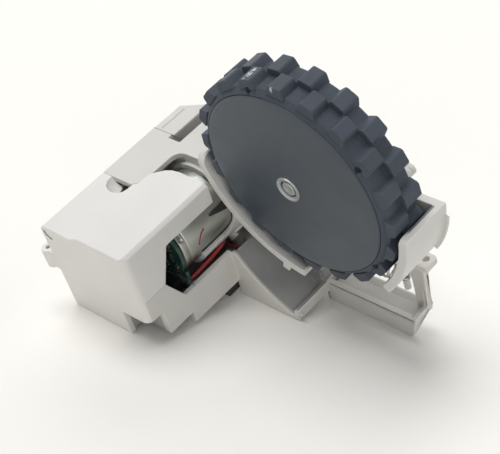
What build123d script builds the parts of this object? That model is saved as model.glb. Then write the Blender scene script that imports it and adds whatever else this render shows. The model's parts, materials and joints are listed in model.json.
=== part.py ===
from build123d import *
from math import acos, asin, atan2, cos, degrees, hypot, pi, radians, sin, sqrt, tan
import os

os.makedirs("parts", exist_ok=True)

# Drive-wheel module of a robot vacuum cleaner, in millimetres.
# It is drawn in the module's own frame: x along the box, y up off the box's top, z out along the
# wheel axle, with the origin in the middle of the hub cap's rim. The last step lays it on its rest plane.

# wheel and tyre
tyre_r = 35.0
tread_h = 2.4
tread_count = 20
block_top = 3.7
block_base = 6.0
block_edge = 0.5
tyre_lip = 2.4
tyre_wall = 4.0
tyre_front = -0.35
tyre_back = -13.8
shoulder = 0.8
slope_back = -1.9
row_split = -7.2
near_row_deg = 12.45
pit_count = 5
pit_r = 0.95
cap_dome = 1.3
cap_t = 1.6
cap_gap = 0.2
rim_wall = 2.0
web_front = -8.2
web_t = 1.8
spoke_count = 6
spoke_t = 1.6
rim_hole_r = 4.2
hub_r = 6.5
washer_r = 4.1
washer_t = 0.5
collar_t = 1.4
axle_r = 2.5
axle_tip = 1.7
tip_edge = 0.25
bush_r = 3.6
bush_flange_r = 4.6
bush_flange_t = 0.4
rear_flange_t = 0.6
clip_t = 0.35
clip_grip = 0.35
clip_rim = 1.4

base_r = tyre_r - tread_h
cap_r = base_r - tyre_lip
rim_r = base_r - tyre_wall

# motor, on the pivot axis of the swing arm
pivot_x = -55.2
pivot_y = -34.5
can_r = 12.2
can_tail = 14.2
can_len = 30.1
can_edge = 0.7
can_nose_r = 3.0
motor_shaft_r = 1.0
motor_screw_gap = 8.0
motor_screw_r = 0.9
motor_head_r = 1.28
bell_r = 9.2
bell_t = 0.6
board_r = 12.6
board_t = 1.2
magnet_r = 4.5
magnet_t = 2.2

# swing arm
plate_t = 2.5
arch_x = -1.5
arch_y = -1.25
arch_gap = 2.4
arch_t = 2.7
arch_front = -1.0
arch_right_front = -0.5
arch_top = -5.5
arch_left_deg = 260.2
arch_right_deg = -46.0
arch_corner = 3.0
nub_deg = 250.0
nub_half_deg = 1.7
nub_len = 4.0
nub_h = 2.3
flange_h = 1.1
flange_t = 1.0
collar_r = 14.0
collar_front = -7.6
cradle_t = 1.6
cradle_tip = 7.0
chamber_depth = 8.9
chamber_wall = 1.6
gear_gap = 0.8
lid_t = 1.5
end_depth = 3.3
lid_boss_r = 2.1
slim_boss_r = 1.8
lid_screw_r = 0.8
lid_head_r = 1.35
lid_head_t = 0.65
pin_r = 1.0
pin_seat = 1.2
pin_seat_lid = 0.8
boss_r = 3.0
boss_len = 1.9

# gears: modules and tooth counts from the motor to the wheel
mod_1 = 0.5
mod_2 = 0.6
mod_3 = 0.7
mod_4 = 0.8
teeth_motor = 12
teeth_1_big = 46
teeth_1_small = 14
teeth_2_big = 41
teeth_2_small = 14
teeth_3_big = 36
teeth_3_small = 15
teeth_out = 34
gear_w = 2.4
gear_step = 0.4

# fixed housing
box_left = -78.6
box_right = -39.8
box_front = 36.5
panel_top = -15.6
strip_top = -17.6
wall = 2.0
seam_y = -35.0
strip_end = 9.5
panel_back = -0.5
floor_low = -56.5
floor_front = -52.3
floor_step = 20.5
foot_y = -53.0
notch_x = -52.0
notch_z = 30.4
notch_y = -43.0
window_top = -23.2
window_low = -44.5
window_front = 20.4
window_apex = 25.7
frame_front = -9.0
ring_t = 3.0
rear_t = 1.8
rear_gap = 0.7
corner_x = -69.2
corner_z = -26.1
roll = 1.4
front_edge_r = 2.6
step_x = -64.5
step_top_x = -60.0
slit_r = 2.55
slit_w = 0.9
scoop_r = 5.2
trough_low = -63.9
trough_x = -16.6
tray_low = -68.5
tray_rim = -59.8
tray_z = -15.0
tray_x = 18.4
tray_foot_x = 15.5
tray_heel = (-24.2, -61.5)
low_back = -28.5
sheet = 1.7
sweep_front = -15.9
swing_low = -53.4
post_z = -21.0
post_back = -22.0
post_web = 1.3
post_t = 1.6
web_left = 13.8
ear_y = -38.1
ear_t = 2.2
ear_left = 19.2
ear_right = 24.2
ear_front = -18.8
ear_back = -24.6
ear_hole = (21.6, -22.1)
ear_hole_r = 1.1
side_ear_r = 2.3
side_ear_hole_r = 0.8
side_ear_out = 3.8
side_ear_y = -30.0
side_ear_h = 7.2
front_ear_z = 35.2
rear_ear_z = -19.0

# extension spring between the arm and the post
spring_z = -22.65
spring_arm = (-30.7, -51.0)
peg_x = 10.6
peg_r = 1.1
peg_top = -45.5
peg_low = -56.3
spring_r = 2.6
spring_wire_r = 0.45
spring_turns = 14
hook_t = 1.8
hook_r = 2.05
hook_hole_r = 0.85
hook_neck = 1.6

cover_screw_r = 1.0

# clearances
run = 0.06
slide = 0.3
over = 1.0

# rest plane: the lean of the module as it lies on its front edge and its tray
lean_deg = 106.8


def box(x0, x1, y0, y1, z0, z1):
    size = Box(x1 - x0, y1 - y0, z1 - z0)
    return Pos((x0 + x1) / 2, (y0 + y1) / 2, (z0 + z1) / 2) * size


def prism_xy(points, z0, z1, r=0.0, corners=None):
    face = Polygon(*points, align=None)
    if r > 0:
        chosen = face.vertices() if corners is None else near(face.vertices(), corners)
        face = fillet(chosen, r)
    return Pos(0, 0, z0) * extrude(face, z1 - z0, dir=(0, 0, 1))


def prism_zy(points, x0, x1, r=0.0, corners=None):
    face = Polygon(*points, align=None)
    if r > 0:
        chosen = face.vertices() if corners is None else near(face.vertices(), corners)
        face = fillet(chosen, r)
    side = Plane(origin=(x1, 0, 0), x_dir=(0, 0, 1), z_dir=(-1, 0, 0))
    return side * extrude(face, x1 - x0, dir=(0, 0, 1))


def prism_xz(points, y0, y1, r=0.0, corners=None):
    face = Polygon(*points, align=None)
    if r > 0:
        chosen = face.vertices() if corners is None else near(face.vertices(), corners)
        face = fillet(chosen, r)
    top = Plane(origin=(0, y1, 0), x_dir=(1, 0, 0), z_dir=(0, -1, 0))
    return top * extrude(face, y1 - y0, dir=(0, 0, 1))


def near(vertices, corners):
    return [min(vertices, key=lambda v: hypot(v.X - cx, v.Y - cy)) for cx, cy in corners]


def rod(x, y, r, z0, z1):
    return Pos(x, y, (z0 + z1) / 2) * Cylinder(r, z1 - z0)


def ring(x, y, r_out, r_in, z0, z1):
    return rod(x, y, r_out, z0, z1) - rod(x, y, r_in, z0 - 1, z1 + 1)


def upright(x, z, r, y0, y1):
    return Pos(x, (y0 + y1) / 2, z) * Rot(90, 0, 0) * Cylinder(r, y1 - y0)


def sector(cx, cy, r_out, r_in, a0, a1, z0, z1):
    mid = (a0 + a1) / 2
    out = [(cx + r_out * cos(radians(a)), cy + r_out * sin(radians(a))) for a in (a0, mid, a1)]
    inn = [(cx + r_in * cos(radians(a)), cy + r_in * sin(radians(a))) for a in (a1, mid, a0)]
    edges = [ThreePointArc(*out), Line(out[2], inn[0]), ThreePointArc(*inn), Line(inn[2], out[0])]
    return Pos(0, 0, z0) * extrude(make_face(Wire(edges)), z1 - z0, dir=(0, 0, 1))


def link_shape(c0, r0, c1, r1):
    # outline of two circles and the two straight lines that touch both
    dx, dy = c1[0] - c0[0], c1[1] - c0[1]
    gap = hypot(dx, dy)
    base = atan2(dy, dx)
    off = acos((r0 - r1) / gap)
    pts = []
    for c, r, s in ((c0, r0, 1), (c1, r1, 1), (c1, r1, -1), (c0, r0, -1)):
        pts.append((c[0] + r * cos(base + s * off), c[1] + r * sin(base + s * off)))
    shape = Polygon(*pts, align=None)
    return shape + Pos(*c0) * Circle(r0) + Pos(*c1) * Circle(r1)


def chain_shape(stations):
    shape = None
    for (c0, r0), (c1, r1) in zip(stations, stations[1:]):
        part = link_shape(c0, r0, c1, r1)
        shape = part if shape is None else shape + part
    return shape


def gear(teeth, module, phase_deg, z0, z1, bore_r, cx, cy):
    pitch_r = teeth * module / 2
    tip_r = pitch_r + 0.8 * module
    root_r = pitch_r - 1.1 * module
    half = 0.21 * 2 * pi / teeth
    slope = tan(radians(20))
    tip_half = half - 0.8 * module * slope / pitch_r
    root_half = half + 1.0 * module * slope / pitch_r
    pts = []
    for k in range(teeth):
        a = radians(phase_deg) + 2 * pi * k / teeth
        for r, d in ((root_r, -root_half), (tip_r, -tip_half), (tip_r, tip_half), (root_r, root_half)):
            pts.append((cx + r * cos(a + d), cy + r * sin(a + d)))
    blank = Pos(0, 0, z0) * extrude(Polygon(*pts, align=None), z1 - z0, dir=(0, 0, 1))
    return blank - rod(cx, cy, bore_r, z0 - 1, z1 + 1)


def mesh_phase(phase_deg, teeth_a, teeth_b, toward_deg):
    # phase of gear b that puts one of its gaps over the nearest tooth of gear a
    pitch_a = 360.0 / teeth_a
    lead = (phase_deg - toward_deg) % pitch_a
    return toward_deg + 180.0 - lead * teeth_a / teeth_b + 180.0 / teeth_b


# gear centres and levels
plate_front = can_tail - can_len
plate_back = plate_front - plate_t
chamber_back = plate_back - chamber_depth
lid_back = chamber_back - lid_t
split = plate_back - end_depth
hub_back = plate_front + bush_flange_t + slide
arch_in = tyre_r + arch_gap
arch_out = arch_in + arch_t
end_back = split - lid_t
level_a = (plate_back - gear_step - gear_w, plate_back - gear_step)
level_b = (level_a[0] - gear_step - gear_w, level_a[0] - gear_step)
level_c = (level_b[0] - gear_step - gear_w, level_b[0] - gear_step)
reach_1 = mod_1 * (teeth_motor + teeth_1_big) / 2
reach_2 = mod_2 * (teeth_1_small + teeth_2_big) / 2
reach_3 = mod_3 * (teeth_2_small + teeth_3_big) / 2
reach_4 = mod_4 * (teeth_3_small + teeth_out) / 2
centre_p = (pivot_x, pivot_y)
centre_1 = (pivot_x + reach_1, pivot_y)
centre_w = (0.0, 0.0)
span = hypot(*centre_1)
centre_3 = (centre_1[0] * reach_4 / span, centre_1[1] * reach_4 / span)
gap_13 = span - reach_4
fold = acos(max(-1.0, min(1.0, (reach_2**2 + gap_13**2 - reach_3**2) / (2 * reach_2 * gap_13))))
heading = atan2(-centre_1[1], -centre_1[0]) - fold
centre_2 = (centre_1[0] + reach_2 * cos(heading), centre_1[1] + reach_2 * sin(heading))


def toward(a, b):
    return degrees(atan2(b[1] - a[1], b[0] - a[0]))


phase_out = 3.0
phase_3_small = mesh_phase(phase_out, teeth_out, teeth_3_small, toward(centre_w, centre_3))
phase_3_big = 2.0
phase_2_small = mesh_phase(phase_3_big, teeth_3_big, teeth_2_small, toward(centre_3, centre_2))
phase_2_big = 1.0
phase_1_small = mesh_phase(phase_2_big, teeth_2_big, teeth_1_small, toward(centre_2, centre_1))
phase_1_big = 1.5
phase_motor = mesh_phase(phase_1_big, teeth_1_big, teeth_motor, toward(centre_1, centre_p))


def tip_radius(teeth, module):
    return teeth * module / 2 + 0.8 * module


def chamber_stations(extra):
    return [
        (centre_p, collar_r - chamber_wall - slide + extra),
        (centre_1, tip_radius(teeth_1_big, mod_1) + gear_gap + extra),
        (centre_2, tip_radius(teeth_2_big, mod_2) + gear_gap + extra),
        (centre_3, tip_radius(teeth_3_big, mod_3) + gear_gap + extra),
        (centre_w, tip_radius(teeth_out, mod_4) + gear_gap + extra),
    ]


def chamber_outline(extra):
    return chain_shape(chamber_stations(extra))


def tub_outline(extra):
    # the deep end of the gearbox stops short of the wheel axle
    return chain_shape(chamber_stations(extra)[:4])


def make_tyre():
    seat = -cap_t - cap_gap
    profile = [
        (rim_r, seat), (cap_r + cap_gap, seat), (cap_r + cap_gap, tyre_front - 0.1), (cap_r + 0.6, tyre_front),
        (cap_r + 1.0, tyre_front - 0.25), (base_r, slope_back), (base_r, tyre_back + shoulder),
        (base_r - shoulder, tyre_back), (rim_r, tyre_back),
    ]
    body = revolve(Plane.XZ * Polygon(*profile, align=None), Axis.Z)
    pitch = 360.0 / tread_count
    near_block = make_near_block()
    far_block = make_block(tyre_back, row_split)
    tread = []
    for k in range(tread_count):
        tread.append(Rot(0, 0, near_row_deg + k * pitch) * near_block)
        tread.append(Rot(0, 0, near_row_deg + (k - 0.5) * pitch) * far_block)
    body = body + tread
    for k in range(pit_count):
        turn = near_row_deg + pitch * round((0.25 + k) * tread_count / pit_count)
        body = body - Rot(0, 0, turn) * Pos(base_r - pit_r, 0, tyre_front - pit_r) * Rot(0, 20, 0) * Cylinder(pit_r, 1.6)
    return body


def make_block(z0, z1):
    root_r = base_r - 0.6
    half_root = block_base / 2 + 0.3
    half_top = block_top / 2
    cross = [
        (root_r, -half_root), (tyre_r - block_edge, -half_top - block_edge), (tyre_r, -half_top), (tyre_r, half_top),
        (tyre_r - block_edge, half_top + block_edge), (root_r, half_root),
    ]
    return Pos(0, 0, z0) * extrude(Polygon(*cross, align=None), z1 - z0, dir=(0, 0, 1))


def make_near_block():
    # the block's front end slopes down to the lip around the hub cap
    start = (cap_r + 1.0, tyre_front - 0.2)
    lead = [(start[0], over), start, (tyre_r, slope_back), (tyre_r + over, slope_back), (tyre_r + over, over)]
    side = Plane(origin=(0, block_base, 0), x_dir=(1, 0, 0), z_dir=(0, -1, 0))
    return make_block(row_split, tyre_front) - side * extrude(Polygon(*lead, align=None), 2 * block_base, dir=(0, 0, 1))


def make_rim():
    inner = rim_r - rim_wall
    front = -cap_t - cap_gap
    body = ring(0, 0, rim_r, inner, tyre_back + slide, front)
    body = body + rod(0, 0, inner + 0.2, web_front - web_t, web_front)
    body = body + rod(0, 0, hub_r, hub_back, front + cap_dome - cap_gap)
    for k in range(spoke_count):
        rib = box(hub_r - 1, inner + slide, -spoke_t / 2, spoke_t / 2, tyre_back + cap_gap, front - cap_dome)
        body = body + Rot(0, 0, 360 * k / spoke_count) * rib
    for k in range(spoke_count):
        hole = rod((hub_r + inner) / 2, 0, rim_hole_r, web_front - web_t - 1, web_front + 1)
        body = body - Rot(0, 0, 360 * (k + 0.5) / spoke_count) * hole
    return body - rod(0, 0, axle_r, hub_back - 1, over * 10)


def make_hub_cap():
    bore = washer_r - collar_t
    top = cap_dome - 0.02
    edge = tip_edge
    face = [
        Line((bore, top), (bore, cap_dome - cap_t)),
        Line((bore, cap_dome - cap_t), (cap_r - cap_t, -cap_t)),
        Line((cap_r - cap_t, -cap_t), (cap_r, -cap_t)),
        Line((cap_r, -cap_t), (cap_r, -edge)),
        Line((cap_r, -edge), (cap_r - edge, 0.0)),
        Line((cap_r - edge, 0.0), (cap_r * 0.55, cap_dome * 0.64)),
        Line((cap_r * 0.55, cap_dome * 0.64), (bore, top)),
    ]
    return revolve(Plane.XZ * make_face(Wire(face)), Axis.Z)


def make_hub_washer():
    low = cap_dome - 0.02
    plate = ring(0, 0, washer_r, axle_r, low, low + washer_t)
    collar = ring(0, 0, washer_r - collar_t, axle_r, low - cap_t, low + 0.01)
    return plate + collar


def axle_groove():
    return end_back - rear_flange_t - 0.7 - clip_t, end_back - rear_flange_t - 0.3


def make_axle():
    low, high = axle_groove()
    end = axle_tip + 2 * tip_edge
    shaft = rod(0, 0, axle_r, low - 0.7, end)
    shaft = shaft + rod(0, 0, axle_r - tip_edge, end, end + 2 * tip_edge)
    groove = ring(0, 0, axle_r + 0.5, axle_r - clip_grip - 0.05, low, high)
    centre = Pos(0, 0, end + 2 * tip_edge) * Cone(0.0, 0.7, 0.6)
    return shaft - groove - centre


def make_axle_clip():
    low, high = axle_groove()
    mid = (low + high) / 2
    clip = ring(0, 0, axle_r + clip_rim, axle_r - clip_grip, mid - clip_t / 2, mid + clip_t / 2)
    return clip - box(0, axle_r + clip_rim + 1, -axle_r * 0.4, axle_r * 0.4, low - 1, high + 1)


def make_output_gear():
    body = gear(teeth_out, mod_4, phase_out, level_a[0], level_a[1], axle_r, *centre_w)
    for k in range(spoke_count):
        hole = rod(0.62 * teeth_out * mod_4 / 2, 0, 2.0, level_a[0] - 1, level_a[1] + 1)
        body = body - Rot(0, 0, 360 * k / spoke_count) * hole
    return body


def make_stage_1():
    big = gear(teeth_1_big, mod_1, phase_1_big, level_a[0], level_a[1], pin_r + run, *centre_1)
    small = gear(teeth_1_small, mod_2, phase_1_small, level_b[0], level_a[0] + 0.1, pin_r + run, *centre_1)
    return big + small


def make_stage_2():
    big = gear(teeth_2_big, mod_2, phase_2_big, level_b[0], level_b[1], pin_r + run, *centre_2)
    small = gear(teeth_2_small, mod_3, phase_2_small, level_c[0], level_b[0] + 0.1, pin_r + run, *centre_2)
    return big + small


def make_stage_3():
    big = gear(teeth_3_big, mod_3, phase_3_big, level_c[0], level_c[1], pin_r + run, *centre_3)
    small = gear(teeth_3_small, mod_4, phase_3_small, level_a[0], level_a[1], pin_r + run, *centre_3)
    hub = ring(centre_3[0], centre_3[1], 3.0, pin_r + run, level_c[1] - 0.1, level_a[0] + 0.1)
    return big + small + hub


def make_gear_pins():
    pins = None
    for c in (centre_1, centre_2, centre_3):
        pin = rod(c[0], c[1], pin_r, chamber_back - pin_seat_lid, plate_back + pin_seat)
        pins = pin if pins is None else pins + pin
    return pins


def make_gearbox_shell():
    body = Pos(0, 0, split) * extrude(chamber_outline(chamber_wall), plate_front - split, dir=(0, 0, 1))
    disc = rod(arch_x, arch_y, arch_out, plate_back, plate_front)
    reach = arch_out + over
    disc = disc - box(arch_x - reach, arch_x + reach, arch_top, arch_y + reach, plate_back - 1, plate_front + 1)
    body = body + disc + arm_screw_bosses() + arm_lug_root()
    cavity = Pos(0, 0, split - 1) * extrude(chamber_outline(0.0), end_depth + 1, dir=(0, 0, 1))
    body = body - cavity + arm_arch() + arm_lug()
    bore_r = can_r + run
    body = body + ring(pivot_x, pivot_y, collar_r, bore_r, plate_front - 0.1, collar_front)
    body = body + sector(pivot_x, pivot_y, can_r + cradle_t, bore_r, -112, -26, collar_front - 0.1, cradle_tip)
    body = body - rod(pivot_x, pivot_y, can_nose_r + 0.1, plate_back - 1, plate_front + 1)
    for x in motor_screw_xs():
        body = body - rod(x, pivot_y, motor_head_r + 0.02, plate_back - 1, plate_front + 1)
    body = body - rod(0, 0, bush_r, plate_back - 1, plate_front + 1)
    for c in (centre_1, centre_2, centre_3):
        body = body - rod(c[0], c[1], pin_r, plate_back - 1, plate_back + pin_seat)
    for c in lid_screw_spots():
        body = body - rod(c[0], c[1], lid_screw_r, split - 1, plate_back + 0.6)
    return body


def motor_screw_xs():
    return pivot_x - motor_screw_gap, pivot_x + motor_screw_gap


def lid_screw_spots():
    return [(23.4, -2.9), (-10.2, 15.4), (-37.9, -12.5), (-27.6, -43.7), (6.3, -17.3)]


def arm_arch():
    # the bucket around the lower half of the wheel, open at the top
    rise = degrees(asin((arch_top - arch_y) / arch_out))
    back = plate_front - 0.1
    left = sector(arch_x, arch_y, arch_out, arch_in, 180 - rise - 2, arch_left_deg, back, arch_front)
    low = arch_y - arch_out - over
    keep = prism_zy([(back - 1, low), (back - 1, arch_top), (arch_front, arch_top), (arch_front, low)],
                    arch_x - arch_out - over, arch_x, arch_corner, [(arch_front, arch_top)])
    right = sector(arch_x, arch_y, arch_out, arch_in, arch_right_deg, rise + 2, back, arch_right_front)
    right = right - box(arch_x, arch_x + arch_out + over, arch_top, arch_top + 10, back - 1, 1)
    nub = sector(arch_x, arch_y, arch_out + nub_h, arch_in + 1, nub_deg - nub_half_deg, nub_deg + nub_half_deg,
                 arch_front - nub_len, arch_front)
    flange = sector(arch_x, arch_y, arch_out + flange_h, arch_in, -36, -13, plate_back, plate_back + flange_t)
    return (left & keep) + right + nub + flange


def boss_web(z0, z1):
    # web between the wheel end of the gearbox and the screw boss beside it
    (x, y) = lid_screw_spots()[0]
    return prism_xy([(10, 10), (10, -10), (x - 0.9, y - 1.4), (x + 0.2, y + 1.7)], z0, z1)


def arm_screw_bosses():
    bosses = boss_web(split, plate_front)
    for c, r in lid_bosses():
        bosses = bosses + rod(c[0], c[1], r, split, plate_back + 0.1)
    return bosses


def lid_bosses():
    radii = [slim_boss_r] + [lid_boss_r] * 4
    return zip(lid_screw_spots(), radii)


def arm_lug_root():
    return prism_xy([(-37, -40), (-26, -38), (-25.9, -46.0), (-27.5, -49.4), (-33.6, -49.4), (-35, -46.0)],
                    split, plate_back + 0.1)


def arm_lug():
    # hook plate that the spring pulls on
    x, y = spring_arm
    left, right = x - 2.2, x + 2.6
    low = spring_z - hook_t / 2
    step = box(left, right, y + 1.8, y + 4.4, low, split + 0.4)
    plate = prism_xy([(left, y + 3.0), (right, y + 3.0), (right, y - 0.9), (x + 1.6, y - 1.9), (x - 1.2, y - 1.9),
                      (left, y - 0.9)], low, low + hook_t)
    return step + plate - rod(x, y, hook_hole_r, low - 1, low + hook_t + 1)


def make_gearbox_lid():
    body = Pos(0, 0, end_back) * extrude(chamber_outline(chamber_wall), lid_t, dir=(0, 0, 1))
    body = body + Pos(0, 0, lid_back) * extrude(tub_outline(chamber_wall), split - lid_back, dir=(0, 0, 1))
    for c, r in lid_bosses():
        body = body + rod(c[0], c[1], r, end_back, split)
    body = body + boss_web(end_back, split)
    body = body - Pos(0, 0, chamber_back) * extrude(tub_outline(0.0), split - chamber_back + 1, dir=(0, 0, 1))
    body = body + rod(pivot_x, pivot_y, boss_r, lid_back - boss_len, lid_back + 0.1)
    body = body - rod(0, 0, bush_r, end_back - 1, split + 1)
    body = body - rod(0, 0, bush_flange_r + slide, lid_back - 1, end_back)
    for c in (centre_1, centre_2, centre_3):
        body = body - rod(c[0], c[1], pin_r, chamber_back - pin_seat_lid, chamber_back + 1)
    for c in lid_screw_spots():
        body = body - rod(c[0], c[1], lid_screw_r + 0.2, end_back - 1, split + 1)
        body = body - rod(c[0], c[1], lid_head_r + 0.1, end_back - 1, end_back + lid_head_t + 0.05)
    return body


def make_lid_screws():
    screws = None
    for c in lid_screw_spots():
        screw = rod(c[0], c[1], lid_screw_r, end_back + lid_head_t - 0.05, plate_back + 0.2)
        screw = screw + rod(c[0], c[1], lid_head_r, end_back + 0.05, end_back + lid_head_t)
        for turn in (0, 90):
            screw = screw - Pos(c[0], c[1], end_back) * Rot(0, 0, turn) * Box(1.25 * lid_head_r, 0.4, 0.7)
        screws = screw if screws is None else screws + screw
    return screws


def make_axle_bush(z0, z1, flange_at):
    body = ring(0, 0, bush_r, axle_r + run, z0, z1)
    flange = ring(0, 0, bush_flange_r, axle_r + run, *flange_at)
    return body + flange


def make_motor_can():
    body = rod(pivot_x, pivot_y, can_r, plate_front, can_tail)
    body = chamfer(body.edges().filter_by(GeomType.CIRCLE), can_edge)
    body = body + rod(pivot_x, pivot_y, can_nose_r, plate_front - 1.4, plate_front + 0.1)
    body = body - ring(pivot_x, pivot_y, can_r + 1, can_r - 0.25, can_tail - 2.6, can_tail - 2.2)
    body = body - rod(pivot_x, pivot_y, motor_shaft_r + run, plate_front - 3, can_tail + 1)
    for x in motor_screw_xs():
        body = body - rod(x, pivot_y, motor_screw_r, plate_front - 1, plate_front + 3)
    return body


def make_motor_screws():
    screws = None
    for x in motor_screw_xs():
        screw = rod(x, pivot_y, motor_screw_r, plate_back, plate_front + 2.5)
        screw = screw + rod(x, pivot_y, motor_head_r, plate_back, plate_front - 0.8)
        screws = screw if screws is None else screws + screw
    return screws


def make_motor_end_bell():
    body = rod(pivot_x, pivot_y, bell_r, can_tail, can_tail + bell_t)
    return body - rod(pivot_x, pivot_y, motor_shaft_r + run + 0.1, can_tail - 1, can_tail + bell_t + 1)


def make_encoder_board():
    z0 = can_tail + bell_t
    body = rod(pivot_x, pivot_y, board_r, z0, z0 + board_t)
    body = body + box(pivot_x - 1.5, pivot_x + board_r - 0.2, pivot_y - 14.1, pivot_y - 6, z0, z0 + board_t)
    body = body - rod(pivot_x, pivot_y, motor_shaft_r + 0.6, z0 - 1, z0 + 3)
    edge = pivot_x - board_r
    body = body - box(edge - 1, edge + 1.2, pivot_y - board_r, pivot_y + board_r, z0 - 1, z0 + 3)
    for dx in (-9.6, 9.6):
        body = body - rod(pivot_x + dx, pivot_y - 3.5, 0.6, z0 - 1, z0 + 3)
    return body


def make_encoder_sensor():
    z0 = can_tail + bell_t + board_t
    chip = box(pivot_x + 6.2, pivot_x + 9.2, pivot_y - 1.6, pivot_y + 1.6, z0, z0 + 1.0)
    socket = box(pivot_x + 0.5, pivot_x + 8.9, -48.2, -44.2, z0, z0 + 3.4)
    socket = socket - box(pivot_x + 1.3, pivot_x + 8.1, -47.5, -44.9, z0 + 0.8, z0 + 5)
    for k in range(4):
        x = pivot_x + 1.9 + 1.85 * k
        socket = socket + box(x - 0.25, x + 0.25, -46.45, -45.95, z0 + 0.7, z0 + 3.0)
    return chip + socket


def make_motor_shaft():
    shaft = rod(pivot_x, pivot_y, motor_shaft_r, level_a[0] - 0.6, can_tail + bell_t + board_t + 3.2)
    pinion = gear(teeth_motor, mod_1, phase_motor, level_a[0], level_a[1], motor_shaft_r - 0.2, pivot_x, pivot_y)
    return shaft + pinion


def make_encoder_magnet():
    z0 = can_tail + bell_t + board_t + 0.7
    return ring(pivot_x, pivot_y, magnet_r, motor_shaft_r, z0, z0 + magnet_t)


def make_motor_cover():
    low = strip_top
    top_profile = [
        (box_left, seam_y), (box_left, low - roll), (box_left + roll, low), (step_x, low), (step_top_x, panel_top),
        (box_right - 1.2, panel_top), (box_right, panel_top - 1.2), (box_right, seam_y), (box_right - wall, seam_y),
        (box_right - wall, panel_top - wall), (step_top_x + 0.6, panel_top - wall), (step_x + 0.6, low - wall),
        (box_left + wall + 0.2, low - wall), (box_left + wall, low - wall - 1.0), (box_left + wall, seam_y),
    ]
    hood = prism_xy(top_profile, strip_end, box_front)
    right_top = [
        (step_top_x - 0.6, panel_top - 0.3), (step_top_x, panel_top), (box_right - 1.2, panel_top),
        (box_right, panel_top - 1.2), (box_right, seam_y), (box_right - wall, seam_y),
        (box_right - wall, panel_top - wall), (step_top_x - 0.6, panel_top - wall),
    ]
    hood = hood + prism_xy(right_top, panel_back, strip_end + 0.1)
    window = [
        (-5, window_top), (window_front - 0.6, window_top), (window_front + 0.2, window_top - 0.2),
        (window_apex, seam_y - 0.01), (window_apex, seam_y - 6), (-5, seam_y - 6),
    ]
    hood = hood - prism_zy(window, box_right - wall - 1, box_right + 1)
    face = [
        (box_left, foot_y), (box_left, low - roll), (box_left + roll, low), (step_x, low), (step_top_x, panel_top),
        (box_right - 1.2, panel_top), (box_right, panel_top - 1.2), (box_right, notch_y), (notch_x, notch_y),
        (notch_x, foot_y),
    ]
    hood = hood + prism_xy(face, box_front - wall, box_front)
    plan = [(box_left, panel_back - 5), (box_left, box_front), (box_right, box_front), (box_right, panel_back - 5)]
    hood = hood & prism_xz(plan, foot_y - over, panel_top + over, front_edge_r, [(box_right, box_front)])
    hood = hood - cover_arch() - thumb_scoop() - corner_slit()
    hood = hood + side_ear(front_ear_z)
    for x, z in cover_screw_spots():
        skin = strip_top if x < step_x + 2 else panel_top
        hood = hood + upright(x, z, 2.8, floor_front + wall, skin - wall / 2)
        hood = hood - upright(x, z, cover_screw_r, floor_front, floor_front + wall + 9)
    return hood


def cover_arch():
    # the arched back edge of the raised panel, over the motor
    pts = [(-60.6, 5.2), (-58.6, 2.8), (-56.6, 0.9), (-54.5, -0.1), (-51.5, -0.5), (-62.0, -1.5), (-62.0, 5.4)]
    return prism_xz(pts, seam_y + 5, panel_top + 5)


def corner_slit():
    x, y = box_left + 3.7, strip_top - 2.0
    return sector(x, y, slit_r + slit_w / 2, slit_r - slit_w / 2, 175, 275, box_front - 1.2, box_front + 1)


def thumb_scoop():
    return Pos(-68.3, strip_top + 1.6, 10.0) * Sphere(scoop_r)


def side_ear(z):
    # screw boss on the left wall
    x = box_left - side_ear_out
    low = side_ear_y - side_ear_h
    lug = upright(x, z, side_ear_r, low, side_ear_y)
    lug = lug + box(x, box_left + 0.1, low, side_ear_y, z - side_ear_r, min(z + side_ear_r, box_front))
    return lug - upright(x, z, side_ear_hole_r, low - 1, side_ear_y + 1)


def make_cover_screws():
    screws = None
    for x, z in cover_screw_spots():
        y0 = floor_front + 0.1
        screw = upright(x, z, cover_screw_r, y0, floor_front + wall + 8.0) + upright(x, z, 2.0, y0, floor_front + 1.1)
        screw = screw - Pos(x, y0, z) * Box(2.4, 0.9, 0.5) - Pos(x, y0, z) * Box(0.5, 0.9, 2.4)
        screws = screw if screws is None else screws + screw
    return screws


def cover_screw_spots():
    return [(-73.5, 27.0), (-56.5, 27.0)]


def make_frame():
    body = frame_tub()
    body = body + frame_top()
    body = body + frame_trough()
    body = body + frame_tray()
    body = body + frame_post()
    body = body + post_ear()
    body = body + side_ear(rear_ear_z)
    body = body - rod(pivot_x, pivot_y, boss_r + run, low_back - 10, low_back)
    for x, z in cover_screw_spots():
        body = body - upright(x, z, cover_screw_r + 0.2, floor_front - 2, floor_front + 4)
        body = body - upright(x, z, 2.2, floor_front - 2, floor_front + 1.1)
    body = body - box(-47.0, -42.4, floor_low - 1, floor_low + wall + 1, -13.6, -9.0)
    return body


def rear_face():
    return lid_back - rear_gap


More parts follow.
